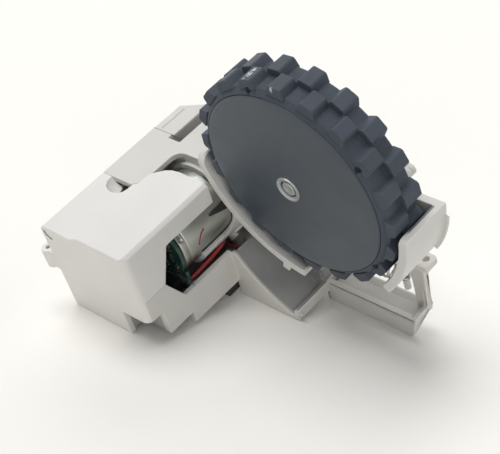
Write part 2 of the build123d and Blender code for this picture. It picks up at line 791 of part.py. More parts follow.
def frame_tub():
    back = rear_face() - rear_t
    deep = box(box_left, box_right, floor_low, floor_low + wall, back, floor_step)
    front = box(box_left, box_right, floor_front, floor_front + wall, floor_step - wall, box_front - wall)
    riser = box(box_left, box_right, floor_low, floor_front + wall, floor_step - wall, floor_step)
    right = [
        (box_front - wall, seam_y), (window_apex, seam_y), (window_front, window_low), (panel_back - 0.2, window_low),
        (panel_back - 0.2, floor_low), (floor_step, floor_low), (floor_step, floor_front), (notch_z, floor_front),
        (notch_z, notch_y), (box_front - wall, notch_y),
    ]
    right_wall = prism_zy(right, box_right - wall, box_right)
    low_right = box(box_right - wall, box_right, floor_low, swing_low, back, panel_back)
    low_right = low_right + box(box_right - wall, box_right, floor_low, -47.5, sweep_front, panel_back)
    left_front = box(box_left, box_left + wall, floor_front, seam_y, floor_step - wall, box_front - wall)
    left_mid = box(box_left, box_left + wall, floor_low, seam_y, strip_end - 0.1, floor_step)
    left_back = box(box_left, box_left + wall, floor_low, strip_top - wall, corner_z, strip_end)
    rear = box(corner_x, box_right - wall, floor_low, strip_top - wall, back, rear_face())
    body = deep + front + riser + right_wall + low_right + left_front + left_mid + left_back + rear
    body = body - rear_corner(floor_low - 1, strip_top) + corner_wall()
    body = body - box(notch_x, box_right + 1, floor_front - 5, notch_y, notch_z, box_front + 1)
    body = body + box(notch_x - sheet, notch_x, floor_front, notch_y, notch_z - 0.1, box_front - wall)
    body = body + box(notch_x - sheet, box_right - wall + 0.1, floor_front, notch_y, notch_z - sheet, notch_z)
    body = body + box(notch_x - sheet, box_right - wall + 0.1, notch_y - 0.01, notch_y + sheet, notch_z - sheet,
                      box_front - wall)
    return body


def rear_corner(y0, y1):
    # what the bevelled rear left corner takes off a square one
    back = rear_face() - rear_t
    return prism_xz([(box_left, corner_z), (corner_x, back), (corner_x, back - 5), (box_left - 5, back - 5),
                     (box_left - 5, corner_z)], y0, y1)


def corner_wall():
    back = rear_face() - rear_t
    return prism_xz([(box_left, corner_z), (corner_x, back), (corner_x + 0.5, rear_face()), (corner_x - 0.8, rear_face()),
                     (box_left + wall, corner_z + 0.9)], floor_low, strip_top - wall)


def frame_top():
    back = rear_face() - rear_t
    plan = [
        (box_left, strip_end), (-61.6, strip_end), (-61.6, frame_front), (-46.0, frame_front), (-46.0, -20.0),
        (-49.0, -23.5), (-64.0, -23.5), (-64.0, -12.4), (corner_x, -12.4), (corner_x, back), (box_left, corner_z),
    ]
    top = prism_xz(plan, strip_top - wall, strip_top, 3.6, [(-61.6, frame_front)])
    rolled = prism_xy([(box_left - 1, strip_top + 1), (box_left - 1, strip_top - roll), (box_left, strip_top - roll),
                       (box_left + roll, strip_top), (box_left + roll, strip_top + 1)], back - 1, strip_end + 1)
    top = top - rolled
    top = top - box(box_left - 1, corner_x, strip_top - 0.8, strip_top + 0.5, back - 1, -14.0)
    top = top - box(-75.6, -75.0, strip_top - 1.3, strip_top, -26.0, -15.5)
    pocket = box(-70.8, corner_x, strip_top - 8, strip_top - 0.8, back, -10.9)
    pocket = pocket + box(-70.8, -62.4, strip_top - 8, strip_top - wall + 0.1, -12.4, -10.9)
    pocket = pocket + box(-64.0, -62.4, strip_top - 5, strip_top - wall + 0.1, -23.5, -12.3)
    pocket = pocket - rear_corner(floor_low, panel_top)
    bulk = box(box_left + wall - 0.1, -47.6, floor_low + wall - 0.1, strip_top - wall + 0.1,
               frame_front - ring_t, frame_front)
    sweep_hole = rod(pivot_x, pivot_y, collar_r + slide, low_back - 10, frame_front - ring_t)
    return top + (pocket + bulk - rod(pivot_x, pivot_y, collar_r + run, low_back, box_front) - sweep_hole)


def trough_curve(drop):
    # round floor of the trough, clear of the arch as the arm swings down
    start = (box_right + 1.8, window_low - drop)
    middle = (-29.2 - 0.7 * drop, -55.8 - 0.7 * drop)
    end = (-20.0, -62.1 - 0.9 * drop)
    return ThreePointArc(start, middle, end)


def frame_trough():
    inner = trough_curve(0.0)
    outer = trough_curve(sheet)
    edges = [inner, Line(inner @ 1, outer @ 1), outer, Line(outer @ 0, inner @ 0)]
    basin = Pos(0, 0, sweep_front) * extrude(make_face(Wire(edges)), -0.4 - sweep_front, dir=(0, 0, 1))
    basin = basin + box(-20.2, trough_x, trough_low, trough_low + sheet, sweep_front, -0.4)
    knee = (trough_x + 1.2, -61.4)
    toe = (trough_x, trough_low + 2.0)
    heel = (trough_x - 2.0, trough_low)
    rim_line = [inner, Line(inner @ 1, knee), Line(knee, toe), Line(toe, heel), Line(heel, (box_right, trough_low)),
                Line((box_right, trough_low), (box_right, window_low)), Line((box_right, window_low), inner @ 0)]
    front = fillet(near(make_face(Wire(rim_line)).vertices(), [toe, heel]), 1.2)
    front = Pos(0, 0, -sheet) * extrude(front, sheet, dir=(0, 0, 1))
    rim = box(trough_x - sheet, trough_x, trough_low, -60.2, sweep_front, -0.3)
    rib = box(-31.0, -29.6, trough_low, -57.0, sweep_front, -0.4)
    side = box(box_right - sheet, box_right, trough_low, floor_low + 0.1, tray_z, 0.0)
    low = box(box_right - wall, trough_x, trough_low, trough_low + sheet, low_back, sweep_front + 0.1)
    low = low + box(box_right - wall, box_right, trough_low, swing_low, low_back, sweep_front + 0.1)
    low = low + box(box_right - 0.1, trough_x - sheet, trough_low, -56.5, sweep_front, sweep_front + sheet)
    return basin + front + rim + rib + side + low


def frame_tray():
    # a trough with a V section: a front wall and a floor that slopes up to the back
    heel_z, heel_y = tray_heel
    front = box(trough_x - sheet, tray_x, tray_low, tray_rim, tray_z - sheet, tray_z)
    inner_low = (tray_z - sheet + 0.1, tray_low + 2.1)
    floor = prism_zy([(tray_z, tray_low), (tray_z - sheet - 0.2, tray_low), (heel_z, heel_y), (heel_z, heel_y + 1.5),
                      (heel_z + 0.7, heel_y + 1.5), inner_low, (tray_z, inner_low[1])], trough_x - sheet, tray_x)
    end = [(tray_z, tray_low), (tray_z, tray_rim), (post_back, tray_rim + 0.7), (heel_z, heel_y + 1.5),
           (heel_z, heel_y), (tray_z - sheet - 0.2, tray_low)]
    left = prism_zy(end, trough_x - sheet, trough_x)
    right = prism_zy(end, tray_x - sheet, tray_x)
    bead = box(trough_x, tray_x, tray_rim - 1.2, tray_rim - 0.8, tray_z - 0.2, tray_z + 0.01)
    far = trough_x - sheet - over
    slant = prism_xy([(far, tray_low - over), (far, tray_rim + over), (tray_x, tray_rim + over), (tray_x, tray_rim),
                      (tray_foot_x, tray_low), (tray_foot_x, tray_low - over)], heel_z - over, tray_z + over)
    return (front + floor + left + right - bead) & slant


def frame_post():
    top = ear_y - ear_t
    foot = tray_heel[1] - 0.3
    web_back = post_back - post_web
    web = prism_xy([(web_left - 0.4, foot), (web_left, peg_top - 0.5), (web_left + 1.0, peg_top + 1.5),
                    (ear_left, top), (ear_left + post_t, top), (tray_x, tray_rim), (tray_x, foot)],
                   web_back, post_back)
    rib = prism_xy([(tray_x - post_t, tray_rim - 1.2), (tray_x, tray_rim - 1.2), (ear_left + post_t, top),
                    (ear_left, top)], post_back - 0.1, post_z)
    peg = upright(peg_x, spring_z, peg_r, peg_low, peg_top)
    link = box(peg_x, web_left + 0.5, peg_top - 3.5, peg_top, web_back, post_back)
    return web + rib + peg + link


def post_ear():
    x, z = ear_hole
    low = ear_y - ear_t
    plan = [(ear_left, ear_front), (ear_right, ear_front), (ear_right, ear_back), (ear_left, ear_back)]
    ear = prism_xz(plan, low, ear_y, 1.3, [(ear_right, ear_back), (ear_left, ear_back)])
    gusset = [(ear_left, low), (ear_right - 1.0, low), (ear_left, low - 7)]
    gusset = prism_xy(gusset, post_back - post_web, post_back - post_web + 1.0)
    hole = upright(x, z, ear_hole_r, low - 1, ear_y + 1)
    return ear - hole + (gusset - upright(x, z, ear_hole_r + 0.5, low - 8, low))


def make_spring():
    # the coil runs between two eyes, one through the arm's lug and one around the post's peg
    post_eye_r = peg_r + spring_wire_r + 0.1
    eye_0 = spring_arm[0] + hook_r
    y = spring_arm[1]
    start = eye_0 + hook_r + hook_neck
    length = peg_x - post_eye_r - hook_neck - start
    path = Helix(length / spring_turns, length, spring_r)
    wire_face = RegularPolygon(spring_wire_r, 8)
    coil = sweep(Plane(origin=path @ 0, z_dir=path % 0) * wire_face, path=path, is_frenet=True)
    body = Pos(start, y, spring_z) * Rot(0, 90, 0) * coil
    for eye, eye_r, end, way in ((eye_0, hook_r, start, 1), (peg_x, post_eye_r, start + length, -1)):
        loop = Pos(eye, y, spring_z) * Rot(90, 0, 0) * Torus(eye_r, spring_wire_r)
        neck = FilletPolyline((eye + way * (eye_r - 0.1), y, spring_z), (end - way * 2 * spring_wire_r, y, spring_z),
                              (end - way * 0.5, y, spring_z - spring_r), (end, y, spring_z - spring_r), radius=0.25)
        wire = sweep(Plane(origin=neck @ 0, z_dir=neck % 0) * Circle(spring_wire_r), path=neck)
        body = body + loop + wire
    return body


def make_leads(x, dy):
    path = FilletPolyline(
        (x, -44.9 + dy, can_tail + 0.5), (x, -44.1 + dy, can_tail - 5.0), (x, -43.7 + dy, -9.0),
        (x, -49.5, -11.3), (x, floor_low + 0.02, -11.3), radius=1.4)
    return sweep(Plane(origin=path @ 0, z_dir=path % 0) * Circle(0.6), path=path)


def make_connector_board():
    return box(-60.0, -42.0, floor_low - 1.2, floor_low, -13.4, 6.2)


def make_connector_socket():
    y1 = floor_low - 1.2
    shell = box(-52.0, -42.0, y1 - 3.6, y1, -2.5, 4.5)
    shell = shell - box(-51.2, -42.8, y1 - 2.9, y1 - 0.7, -1.4, 6)
    for k in range(5):
        x = -50.4 + 1.7 * k
        shell = shell + box(x - 0.25, x + 0.25, y1 - 2.0, y1 - 1.5, -1.5, 3.6)
    return shell


def main():
    parts = {
        "frame_housing": make_frame(),
        "motor_cover": make_motor_cover(),
        "cover_screws": make_cover_screws(),
        "connector_board": make_connector_board(),
        "connector_socket": make_connector_socket(),
        "gearbox_shell": make_gearbox_shell(),
        "gearbox_lid": make_gearbox_lid(),
        "lid_screws": make_lid_screws(),
        "gear_pins": make_gear_pins(),
        "axle_bush_front": make_axle_bush(plate_back, plate_front + bush_flange_t,
                                         (plate_front, plate_front + bush_flange_t)),
        "axle_bush_rear": make_axle_bush(end_back - rear_flange_t, split, (end_back - rear_flange_t, end_back)),
        "motor_can": make_motor_can(),
        "motor_end_bell": make_motor_end_bell(),
        "motor_screws": make_motor_screws(),
        "encoder_board": make_encoder_board(),
        "encoder_sensor": make_encoder_sensor(),
        "motor_shaft_pinion": make_motor_shaft(),
        "encoder_magnet": make_encoder_magnet(),
        "stage_1_gear": make_stage_1(),
        "stage_2_gear": make_stage_2(),
        "stage_3_gear": make_stage_3(),
        "output_gear": make_output_gear(),
        "wheel_axle": make_axle(),
        "axle_clip": make_axle_clip(),
        "wheel_rim": make_rim(),
        "tyre": make_tyre(),
        "hub_cap": make_hub_cap(),
        "hub_washer": make_hub_washer(),
        "tension_spring": make_spring(),
        "lead_red": make_leads(-43.7, 0.0),
        "lead_black": make_leads(-45.3, -1.8),
    }
    laid = {name: Rot(lean_deg, 0, 0) * shape for name, shape in parts.items()}
    boxes = [shape.bounding_box() for shape in laid.values()]
    mid_x = (min(b.min.X for b in boxes) + max(b.max.X for b in boxes)) / 2
    mid_y = (min(b.min.Y for b in boxes) + max(b.max.Y for b in boxes)) / 2
    low_z = min(b.min.Z for b in boxes)
    print("moved by", -mid_x, -mid_y, -low_z)
    for name, shape in laid.items():
        export_step(Pos(-mid_x, -mid_y, -low_z) * shape, "parts/" + name + ".step")


main()
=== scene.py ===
import json
from math import cos, pi, radians, sin

import bmesh
import bpy
from mathutils import Matrix, Vector

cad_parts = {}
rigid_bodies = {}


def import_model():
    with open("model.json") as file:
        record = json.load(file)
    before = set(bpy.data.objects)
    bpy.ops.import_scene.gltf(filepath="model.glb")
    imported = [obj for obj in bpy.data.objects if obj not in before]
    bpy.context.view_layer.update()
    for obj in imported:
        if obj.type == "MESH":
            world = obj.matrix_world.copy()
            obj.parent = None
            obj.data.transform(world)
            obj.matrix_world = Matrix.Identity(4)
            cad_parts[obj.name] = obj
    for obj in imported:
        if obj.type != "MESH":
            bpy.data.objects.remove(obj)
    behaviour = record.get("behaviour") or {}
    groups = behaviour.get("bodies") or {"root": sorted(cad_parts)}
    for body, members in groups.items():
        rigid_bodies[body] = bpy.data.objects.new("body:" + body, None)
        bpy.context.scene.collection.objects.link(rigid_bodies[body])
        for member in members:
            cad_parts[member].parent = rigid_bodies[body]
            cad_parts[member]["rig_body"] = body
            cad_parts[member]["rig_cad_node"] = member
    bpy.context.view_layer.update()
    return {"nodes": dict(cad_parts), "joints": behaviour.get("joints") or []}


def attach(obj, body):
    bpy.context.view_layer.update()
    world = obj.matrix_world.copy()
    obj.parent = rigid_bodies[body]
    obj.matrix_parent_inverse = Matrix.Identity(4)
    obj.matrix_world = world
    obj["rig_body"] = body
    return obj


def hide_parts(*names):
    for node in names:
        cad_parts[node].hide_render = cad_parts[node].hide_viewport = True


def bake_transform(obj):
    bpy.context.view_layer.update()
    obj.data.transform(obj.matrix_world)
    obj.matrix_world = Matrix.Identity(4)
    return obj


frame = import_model()
bpy.ops.object.select_all(action="DESELECT")

# The wheel's own frame: millimetres, x across, y up off the box's top, z out along the axle.
# Its origin lies AXLE_MARK further out than the wheel joint's own point.
joints = {j["name"]: j for j in frame["joints"]}
nodes = frame["nodes"]
AXLE_MARK = 12.0
AXLE = Vector(joints["wheel_spin"]["axis"]).normalized()
ACROSS = Vector((1.0, 0.0, 0.0))
UP = AXLE.cross(ACROSS)
HUB = Vector(joints["wheel_spin"]["pos_m"]) + AXLE * AXLE_MARK / 1000
LAID = Matrix.Translation(HUB) @ Matrix((ACROSS, UP, AXLE)).transposed().to_4x4()

# Places in the wheel's frame that several pieces share
MOTOR = (-55.2, -34.5)
CAN_R = 12.2
CAP_R = 30.2
CAP_DOME = 1.3
ARCH_X, ARCH_Y = -1.5, -1.25
ARCH_TOP = -5.5
ARCH_RIGHT_FRONT = -0.5
ARCH_RIGHT_END = radians(-46)
PEG_X = 10.6
SPRING_Y, SPRING_Z = -51.0, -22.65
LEADS_X = (-43.7, -45.3)
LEADS_Z = -11.3


def at(x, y, z):
    # a place in the wheel's frame, given in metres of the part's frame
    return LAID @ Vector((x / 1000, y / 1000, z / 1000))


# Materials
def new_group(name, inputs, outputs):
    group = bpy.data.node_groups.new(name, "ShaderNodeTree")
    for title, kind, value in inputs:
        socket = group.interface.new_socket(title, in_out="INPUT", socket_type=kind)
        socket.default_value = value
    for title, kind in outputs:
        group.interface.new_socket(title, in_out="OUTPUT", socket_type=kind)
    group.nodes.new("NodeGroupInput")
    group.nodes.new("NodeGroupOutput")
    return group


def ends(group):
    start = next(n for n in group.nodes if n.bl_idname == "NodeGroupInput")
    end = next(n for n in group.nodes if n.bl_idname == "NodeGroupOutput")
    return start, end


def put_node(tree, kind, links=(), **settings):
    # a setting that starts with in_ is an input's value, any other is the node's own
    node = tree.nodes.new(kind)
    for key, value in settings.items():
        if key.startswith("in_"):
            node.inputs[key[3:].replace("_", " ")].default_value = value
        else:
            setattr(node, key, value)
    for title, source in links:
        tree.links.new(source, node.inputs[title])
    return node


def math_node(tree, operation, a, b=None, c=None):
    node = tree.nodes.new("ShaderNodeMath")
    node.operation = operation
    for index, value in enumerate((a, b, c)):
        if value is None:
            continue
        if isinstance(value, (int, float)):
            node.inputs[index].default_value = value
        else:
            tree.links.new(value, node.inputs[index])
    return node.outputs[0]


def noise(tree, where, scale, detail=3.0, rough=0.55):
    node = put_node(tree, "ShaderNodeTexNoise", [("Vector", where)], in_Scale=scale, in_Detail=detail,
                    in_Roughness=rough)
    return node.outputs["Fac"]


def spread(tree, value, low, high, to_low=0.0, to_high=1.0):
    node = put_node(tree, "ShaderNodeMapRange", [("Value", value)])
    node.inputs["From Min"].default_value = low
    node.inputs["From Max"].default_value = high
    node.inputs["To Min"].default_value = to_low
    node.inputs["To Max"].default_value = to_high
    return node.outputs["Result"]


def mixed(tree, factor, a, b, blend="MIX"):
    node = tree.nodes.new("ShaderNodeMix")
    node.data_type = "RGBA"
    node.blend_type = blend
    for socket, value in ((node.inputs[0], factor), (node.inputs[6], a), (node.inputs[7], b)):
        if isinstance(value, (int, float, tuple)):
            socket.default_value = value
        else:
            tree.links.new(value, socket)
    return node.outputs[2]


def make_moulded_group():
    # spark-eroded mould texture with faint flow clouds and handling specks
    group = new_group("moulded_skin", [
        ("Colour", "NodeSocketColor", (0.8, 0.8, 0.8, 1)), ("Cloud", "NodeSocketFloat", 0.04),
        ("Speck", "NodeSocketFloat", 0.3), ("Roughness", "NodeSocketFloat", 0.45),
        ("Grain", "NodeSocketFloat", 2200.0),
    ], [("Colour", "NodeSocketColor"), ("Roughness", "NodeSocketFloat"), ("Height", "NodeSocketFloat")])
    start, end = ends(group)
    where = put_node(group, "ShaderNodeTexCoord").outputs["Object"]
    cloud = spread(group, noise(group, where, 42.0, 4.0), 0.3, 0.7, -1.0, 1.0)
    lift = math_node(group, "MULTIPLY_ADD", cloud, start.outputs["Cloud"], 1.0)
    tone = put_node(group, "ShaderNodeVectorMath", [(0, start.outputs["Colour"])], operation="SCALE")
    group.links.new(lift, tone.inputs["Scale"])
    dots = spread(group, noise(group, where, 900.0, 2.0), 0.71, 0.78)
    field = spread(group, noise(group, where, 30.0, 2.0), 0.5, 0.62)
    speck = math_node(group, "MULTIPLY", math_node(group, "MULTIPLY", dots, field), start.outputs["Speck"])
    shade = put_node(group, "ShaderNodeVectorMath", [(0, start.outputs["Colour"])], operation="SCALE")
    shade.inputs["Scale"].default_value = 0.45
    group.links.new(mixed(group, speck, tone.outputs[0], shade.outputs[0]), end.inputs["Colour"])
    smear = spread(group, noise(group, where, 110.0, 3.0), 0.3, 0.7, -0.06, 0.06)
    group.links.new(math_node(group, "ADD", start.outputs["Roughness"], smear), end.inputs["Roughness"])
    grain = put_node(group, "ShaderNodeTexNoise", [("Vector", where), ("Scale", start.outputs["Grain"])],
                     in_Detail=2.0)
    group.links.new(grain.outputs["Fac"], end.inputs["Height"])
    return group


def make_edge_group():
    # painted highlight along the edges: how far the surface turns within a small radius, 0 on a flat and 1
    # along an edge, broken up by noise
    group = new_group("edge_wear", [("Amount", "NodeSocketFloat", 1.0)], [("Mask", "NodeSocketFloat")])
    start, end = ends(group)
    where = put_node(group, "ShaderNodeTexCoord").outputs["Object"]
    turned = put_node(group, "ShaderNodeBevel", in_Radius=0.0007, samples=4)
    plain = put_node(group, "ShaderNodeNewGeometry")
    dot = put_node(group, "ShaderNodeVectorMath", [(0, turned.outputs[0]), (1, plain.outputs["Normal"])],
                   operation="DOT_PRODUCT")
    edge = spread(group, dot.outputs["Value"], 0.995, 0.80)
    patches = spread(group, noise(group, where, 160.0, 4.0), 0.35, 0.6)
    mask = math_node(group, "MULTIPLY", math_node(group, "MULTIPLY", edge, patches), start.outputs["Amount"])
    group.links.new(mask, end.inputs["Mask"])
    return group


def make_shade_group():
    # painted shade: darkens the wheel bay under the wheel, the inside of the motor box, the rear block's slot
    # and the arch's inner wall, where shade falls
    group = new_group("bay_dust", [("Bay", "NodeSocketFloat", 1.0), ("Box", "NodeSocketFloat", 1.0),
                                   ("Arch", "NodeSocketFloat", 0.0)], [("Mask", "NodeSocketFloat")])
    start, end = ends(group)
    where = put_node(group, "ShaderNodeTexCoord").outputs["Object"]
    from_hub = put_node(group, "ShaderNodeVectorMath", [(0, where)], operation="SUBTRACT")
    from_hub.inputs[1].default_value = HUB

    def along(way):
        dot = put_node(group, "ShaderNodeVectorMath", [(0, from_hub.outputs[0])], operation="DOT_PRODUCT")
        dot.inputs[1].default_value = way
        return math_node(group, "MULTIPLY", dot.outputs["Value"], 1000.0)

    x, y, z = along(ACROSS), along(UP), along(AXLE)

    def both(*parts):
        out = parts[0]
        for part in parts[1:]:
            out = math_node(group, "MULTIPLY", out, part)
        return out

    patchy = spread(group, noise(group, where, 60.0, 3.0), 0.3, 0.7, 0.86, 1.0)
    bay = both(spread(group, z, -0.3, -1.5), spread(group, x, -39.9, -39.2), spread(group, x, -16.75, -17.2),
               spread(group, y, -66.0, -55.0, 0.55, 1.0), patchy)
    box = both(spread(group, x, -41.7, -42.3), spread(group, x, -77.6, -77.0), spread(group, y, -37.0, -42.0),
               spread(group, y, -56.2, -55.6), spread(group, z, -14.0, -13.0), spread(group, z, 35.4, 34.8))
    off_x = math_node(group, "POWER", math_node(group, "ADD", x, -ARCH_X), 2.0)
    off_y = math_node(group, "POWER", math_node(group, "ADD", y, -ARCH_Y), 2.0)
    radius = math_node(group, "SQRT", math_node(group, "ADD", off_x, off_y))
    ragged = spread(group, noise(group, where, 90.0, 3.0), 0.3, 0.7, -0.9, 0.9)
    ragged_z = math_node(group, "ADD", z, ragged)
    slot = both(spread(group, x, -70.9, -70.6), spread(group, x, -61.5, -61.8),
                spread(group, z, -26.4, -26.0), spread(group, z, -10.7, -11.0),
                spread(group, y, -18.5, -19.6, 0.0, 0.85))
    box = math_node(group, "MAXIMUM", box, slot)
    arch = both(spread(group, radius, 38.4, 38.1), spread(group, radius, 36.2, 36.6),
                spread(group, z, -15.85, -15.7), spread(group, ragged_z, -2.4, -4.6))
    mask = math_node(group, "MAXIMUM", math_node(group, "MULTIPLY", bay, start.outputs["Bay"]),
                     math_node(group, "MULTIPLY", box, start.outputs["Box"]))
    mask = math_node(group, "MAXIMUM", mask, math_node(group, "MULTIPLY", arch, start.outputs["Arch"]))
    group.links.new(mask, end.inputs["Mask"])
    return group


def make_scuff_group():
    # two pale rubs where the tread has met a kerb
    group = new_group("tyre_scuffs", [("Amount", "NodeSocketFloat", 1.0)], [("Mask", "NodeSocketFloat")])
    start, end = ends(group)
    where = put_node(group, "ShaderNodeTexCoord").outputs["Object"]
    total = None
    rubs = ((102.8, 35.0, -3.8, 0.9, 3.2), (85.6, 34.3, -0.3, 0.75, 1.5))
    for angle, radius, z, reach_round, reach_z in rubs:
        spot = at(radius * cos(radians(angle)), radius * sin(radians(angle)), z)
        round_way = ACROSS * -sin(radians(angle)) + UP * cos(radians(angle))
        off = put_node(group, "ShaderNodeVectorMath", [(0, where)], operation="SUBTRACT")
        off.inputs[1].default_value = spot
        parts = []
        for way, reach in ((round_way, reach_round), (AXLE, reach_z), (round_way.cross(AXLE), 1.2)):
            dot = put_node(group, "ShaderNodeVectorMath", [(0, off.outputs[0])], operation="DOT_PRODUCT")
            dot.inputs[1].default_value = way * 1000 / reach
            parts.append(math_node(group, "POWER", math_node(group, "ABSOLUTE", dot.outputs["Value"]), 2.0))
        far = math_node(group, "ADD", math_node(group, "ADD", parts[0], parts[1]), parts[2])
        spot_mask = spread(group, far, 1.0, 0.45)
        total = spot_mask if total is None else math_node(group, "MAXIMUM", total, spot_mask)
    broken = spread(group, noise(group, where, 1100.0, 3.0), 0.47, 0.56)
    mask = math_node(group, "MULTIPLY", math_node(group, "MULTIPLY", total, broken), start.outputs["Amount"])
    group.links.new(mask, end.inputs["Mask"])
    return group


SKIN = make_moulded_group()
EDGE = make_edge_group()
SCUFFS = make_scuff_group()
BAY_SHADE = make_shade_group()


def srgb(r, g, b):
    def lin(c):
        c = c / 255.0
        return c / 12.92 if c <= 0.04045 else ((c + 0.055) / 1.055) ** 2.4

    return (lin(r), lin(g), lin(b), 1.0)


def start_material(name):
    material = bpy.data.materials.new(name)
    material.use_nodes = True
    tree = material.node_tree
    tree.nodes.clear()
    out = tree.nodes.new("ShaderNodeOutputMaterial")
    shader = tree.nodes.new("ShaderNodeBsdfPrincipled")
    tree.links.new(shader.outputs["BSDF"], out.inputs["Surface"])
    return material, tree, shader


def bump(tree, shader, height, strength, distance):
    node = put_node(tree, "ShaderNodeBump", [("Height", height)], in_Strength=strength, in_Distance=distance)
    tree.links.new(node.outputs["Normal"], shader.inputs["Normal"])


def skin_node(tree, colour, roughness, cloud, speck, grain):
    skin = put_node(tree, "ShaderNodeGroup", node_tree=SKIN)
    skin.inputs["Colour"].default_value = colour
    skin.inputs["Roughness"].default_value = roughness
    skin.inputs["Cloud"].default_value = cloud
    skin.inputs["Speck"].default_value = speck
    skin.inputs["Grain"].default_value = grain
    return skin


def plastic(name, colour, roughness, cloud=0.03, speck=0.0, grain=2200.0, depth=0.02, edge=0.0,
            highlight_colour=(1, 1, 1, 1), specular=0.5, coat=0.0, bay=0.0, box=0.0, arch=0.0, scuffs=0.0):
    material, tree, shader = start_material(name)
    skin = skin_node(tree, colour, roughness, cloud, speck, grain)
    colour_out = skin.outputs["Colour"]
    # edge mixes the arrises towards highlight_colour: a painted highlight along the edges
    if edge:
        rim = put_node(tree, "ShaderNodeGroup", node_tree=EDGE)
        rim.inputs["Amount"].default_value = edge
        colour_out = mixed(tree, rim.outputs["Mask"], colour_out, highlight_colour)
    if scuffs:
        patches = put_node(tree, "ShaderNodeGroup", node_tree=SCUFFS)
        patches.inputs["Amount"].default_value = scuffs
        colour_out = mixed(tree, patches.outputs["Mask"], colour_out, srgb(214, 218, 222))
    if bay or box or arch:
        shade_paint = put_node(tree, "ShaderNodeGroup", node_tree=BAY_SHADE)
        shade_paint.inputs["Bay"].default_value = bay
        shade_paint.inputs["Box"].default_value = box
        shade_paint.inputs["Arch"].default_value = arch
        # painted shade: the masked places are mixed towards a dark grey
        colour_out = mixed(tree, shade_paint.outputs["Mask"], colour_out, srgb(74, 78, 82))
    tree.links.new(colour_out, shader.inputs["Base Color"])
    tree.links.new(skin.outputs["Roughness"], shader.inputs["Roughness"])
    shader.inputs["Specular IOR Level"].default_value = specular
    shader.inputs["Coat Weight"].default_value = coat
    bump(tree, shader, skin.outputs["Height"], 1.0, depth / 1000)
    return material


def metal(name, colour, roughness, grain=900.0, depth=0.01, cloud=0.08):
    material, tree, shader = start_material(name)
    skin = skin_node(tree, colour, roughness, cloud, 0.0, grain)
    shader.inputs["Metallic"].default_value = 1.0
    tree.links.new(skin.outputs["Colour"], shader.inputs["Base Color"])
    tree.links.new(skin.outputs["Roughness"], shader.inputs["Roughness"])
    bump(tree, shader, skin.outputs["Height"], 1.0, depth / 1000)
    return material


FINISH = {
    # bay, box and arch add painted shade to the housing and the arm
    # edge and highlight_colour give a painted highlight along the edges of each finish that sets them
    "housing_plastic": plastic("housing_plastic", srgb(208, 206, 201), 0.5, edge=0.6,
                               highlight_colour=srgb(238, 236, 232), bay=0.86, box=0.5),
    "cover_plastic": plastic("cover_plastic", srgb(224, 222, 218), 0.42, edge=0.6,
                             highlight_colour=srgb(246, 245, 242)),
    "arm_plastic": plastic("arm_plastic", srgb(206, 205, 201), 0.5, edge=0.6,
                           highlight_colour=srgb(238, 236, 232), arch=0.9),
    "tyre_rubber": plastic("tyre_rubber", srgb(62, 69, 79), 0.66, cloud=0.14, grain=1500.0, depth=0.05,
                           edge=0.4, highlight_colour=srgb(84, 90, 99), specular=0.35, scuffs=0.9),
    "cap_plastic": plastic("cap_plastic", srgb(52, 62, 72), 0.37, cloud=0.04, grain=1500.0, depth=0.004),
    "rim_plastic": plastic("rim_plastic", srgb(60, 62, 66), 0.5),
    "steel": metal("steel", srgb(168, 168, 166), 0.3),
    "dull_steel": metal("dull_steel", srgb(160, 163, 163), 0.42, grain=1800.0, depth=0.006),
    "motor_steel": metal("motor_steel", srgb(176, 178, 172), 0.4),
    # the board's lighter green edge is a painted highlight
    "circuit_board": plastic("circuit_board", srgb(26, 64, 54), 0.35, cloud=0.2, coat=0.3, edge=1.0,
                             highlight_colour=srgb(78, 138, 112)),
    "chip_black": plastic("chip_black", srgb(34, 37, 42), 0.4),
    "socket_plastic": plastic("socket_plastic", srgb(226, 222, 208), 0.4),
    "bell_plastic": plastic("bell_plastic", srgb(38, 38, 40), 0.45),
    "gear_plastic": plastic("gear_plastic", srgb(214, 212, 203), 0.4),
    "bronze": metal("bronze", srgb(170, 128, 84), 0.42),
    "magnet_dark": plastic("magnet_dark", srgb(44, 44, 47), 0.35),
    "wire_red": plastic("wire_red", srgb(160, 50, 54), 0.42),
    "wire_black": plastic("wire_black", srgb(28, 28, 30), 0.4),
}
NODE_SLOT = {
    "frame_housing": "housing_plastic", "motor_cover": "cover_plastic", "cover_screws": "steel",
    "connector_board": "circuit_board", "connector_socket": "socket_plastic", "tension_spring": "steel",
    "lead_red": "wire_red", "lead_black": "wire_black", "gearbox_shell": "arm_plastic",
    "gearbox_lid": "arm_plastic", "lid_screws": "steel", "gear_pins": "steel",
    "axle_bush_front": "bronze", "axle_bush_rear": "bronze", "motor_can": "motor_steel",
    "motor_end_bell": "bell_plastic", "motor_screws": "steel", "encoder_board": "circuit_board",
    "encoder_sensor": "socket_plastic", "motor_shaft_pinion": "steel", "encoder_magnet": "magnet_dark",
    "stage_1_gear": "gear_plastic", "stage_2_gear": "gear_plastic", "stage_3_gear": "gear_plastic",
    "wheel_rim": "rim_plastic", "tyre": "tyre_rubber", "hub_cap": "cap_plastic", "hub_washer": "steel",
    "wheel_axle": "steel", "axle_clip": "steel", "output_gear": "gear_plastic",
}
DARK_SOCKETS = ("encoder_sensor", "connector_socket")
for node_name, slot_name in NODE_SLOT.items():
    node = nodes[node_name]
    node.data.materials.clear()
    node.data.materials.append(FINISH["chip_black" if node_name in DARK_SOCKETS else slot_name])


# Shaping
MERGE_M = 4e-6
FLAT_DEG = 0.6
CORNER_DEG = 28
SMOOTH_DEG = 35


def alone(obj):
    bpy.ops.object.select_all(action="DESELECT")
    obj.select_set(True)
    bpy.context.view_layer.objects.active = obj


def mm(*values):
    # millimetres to metres
    return tuple(v / 1000 for v in values)


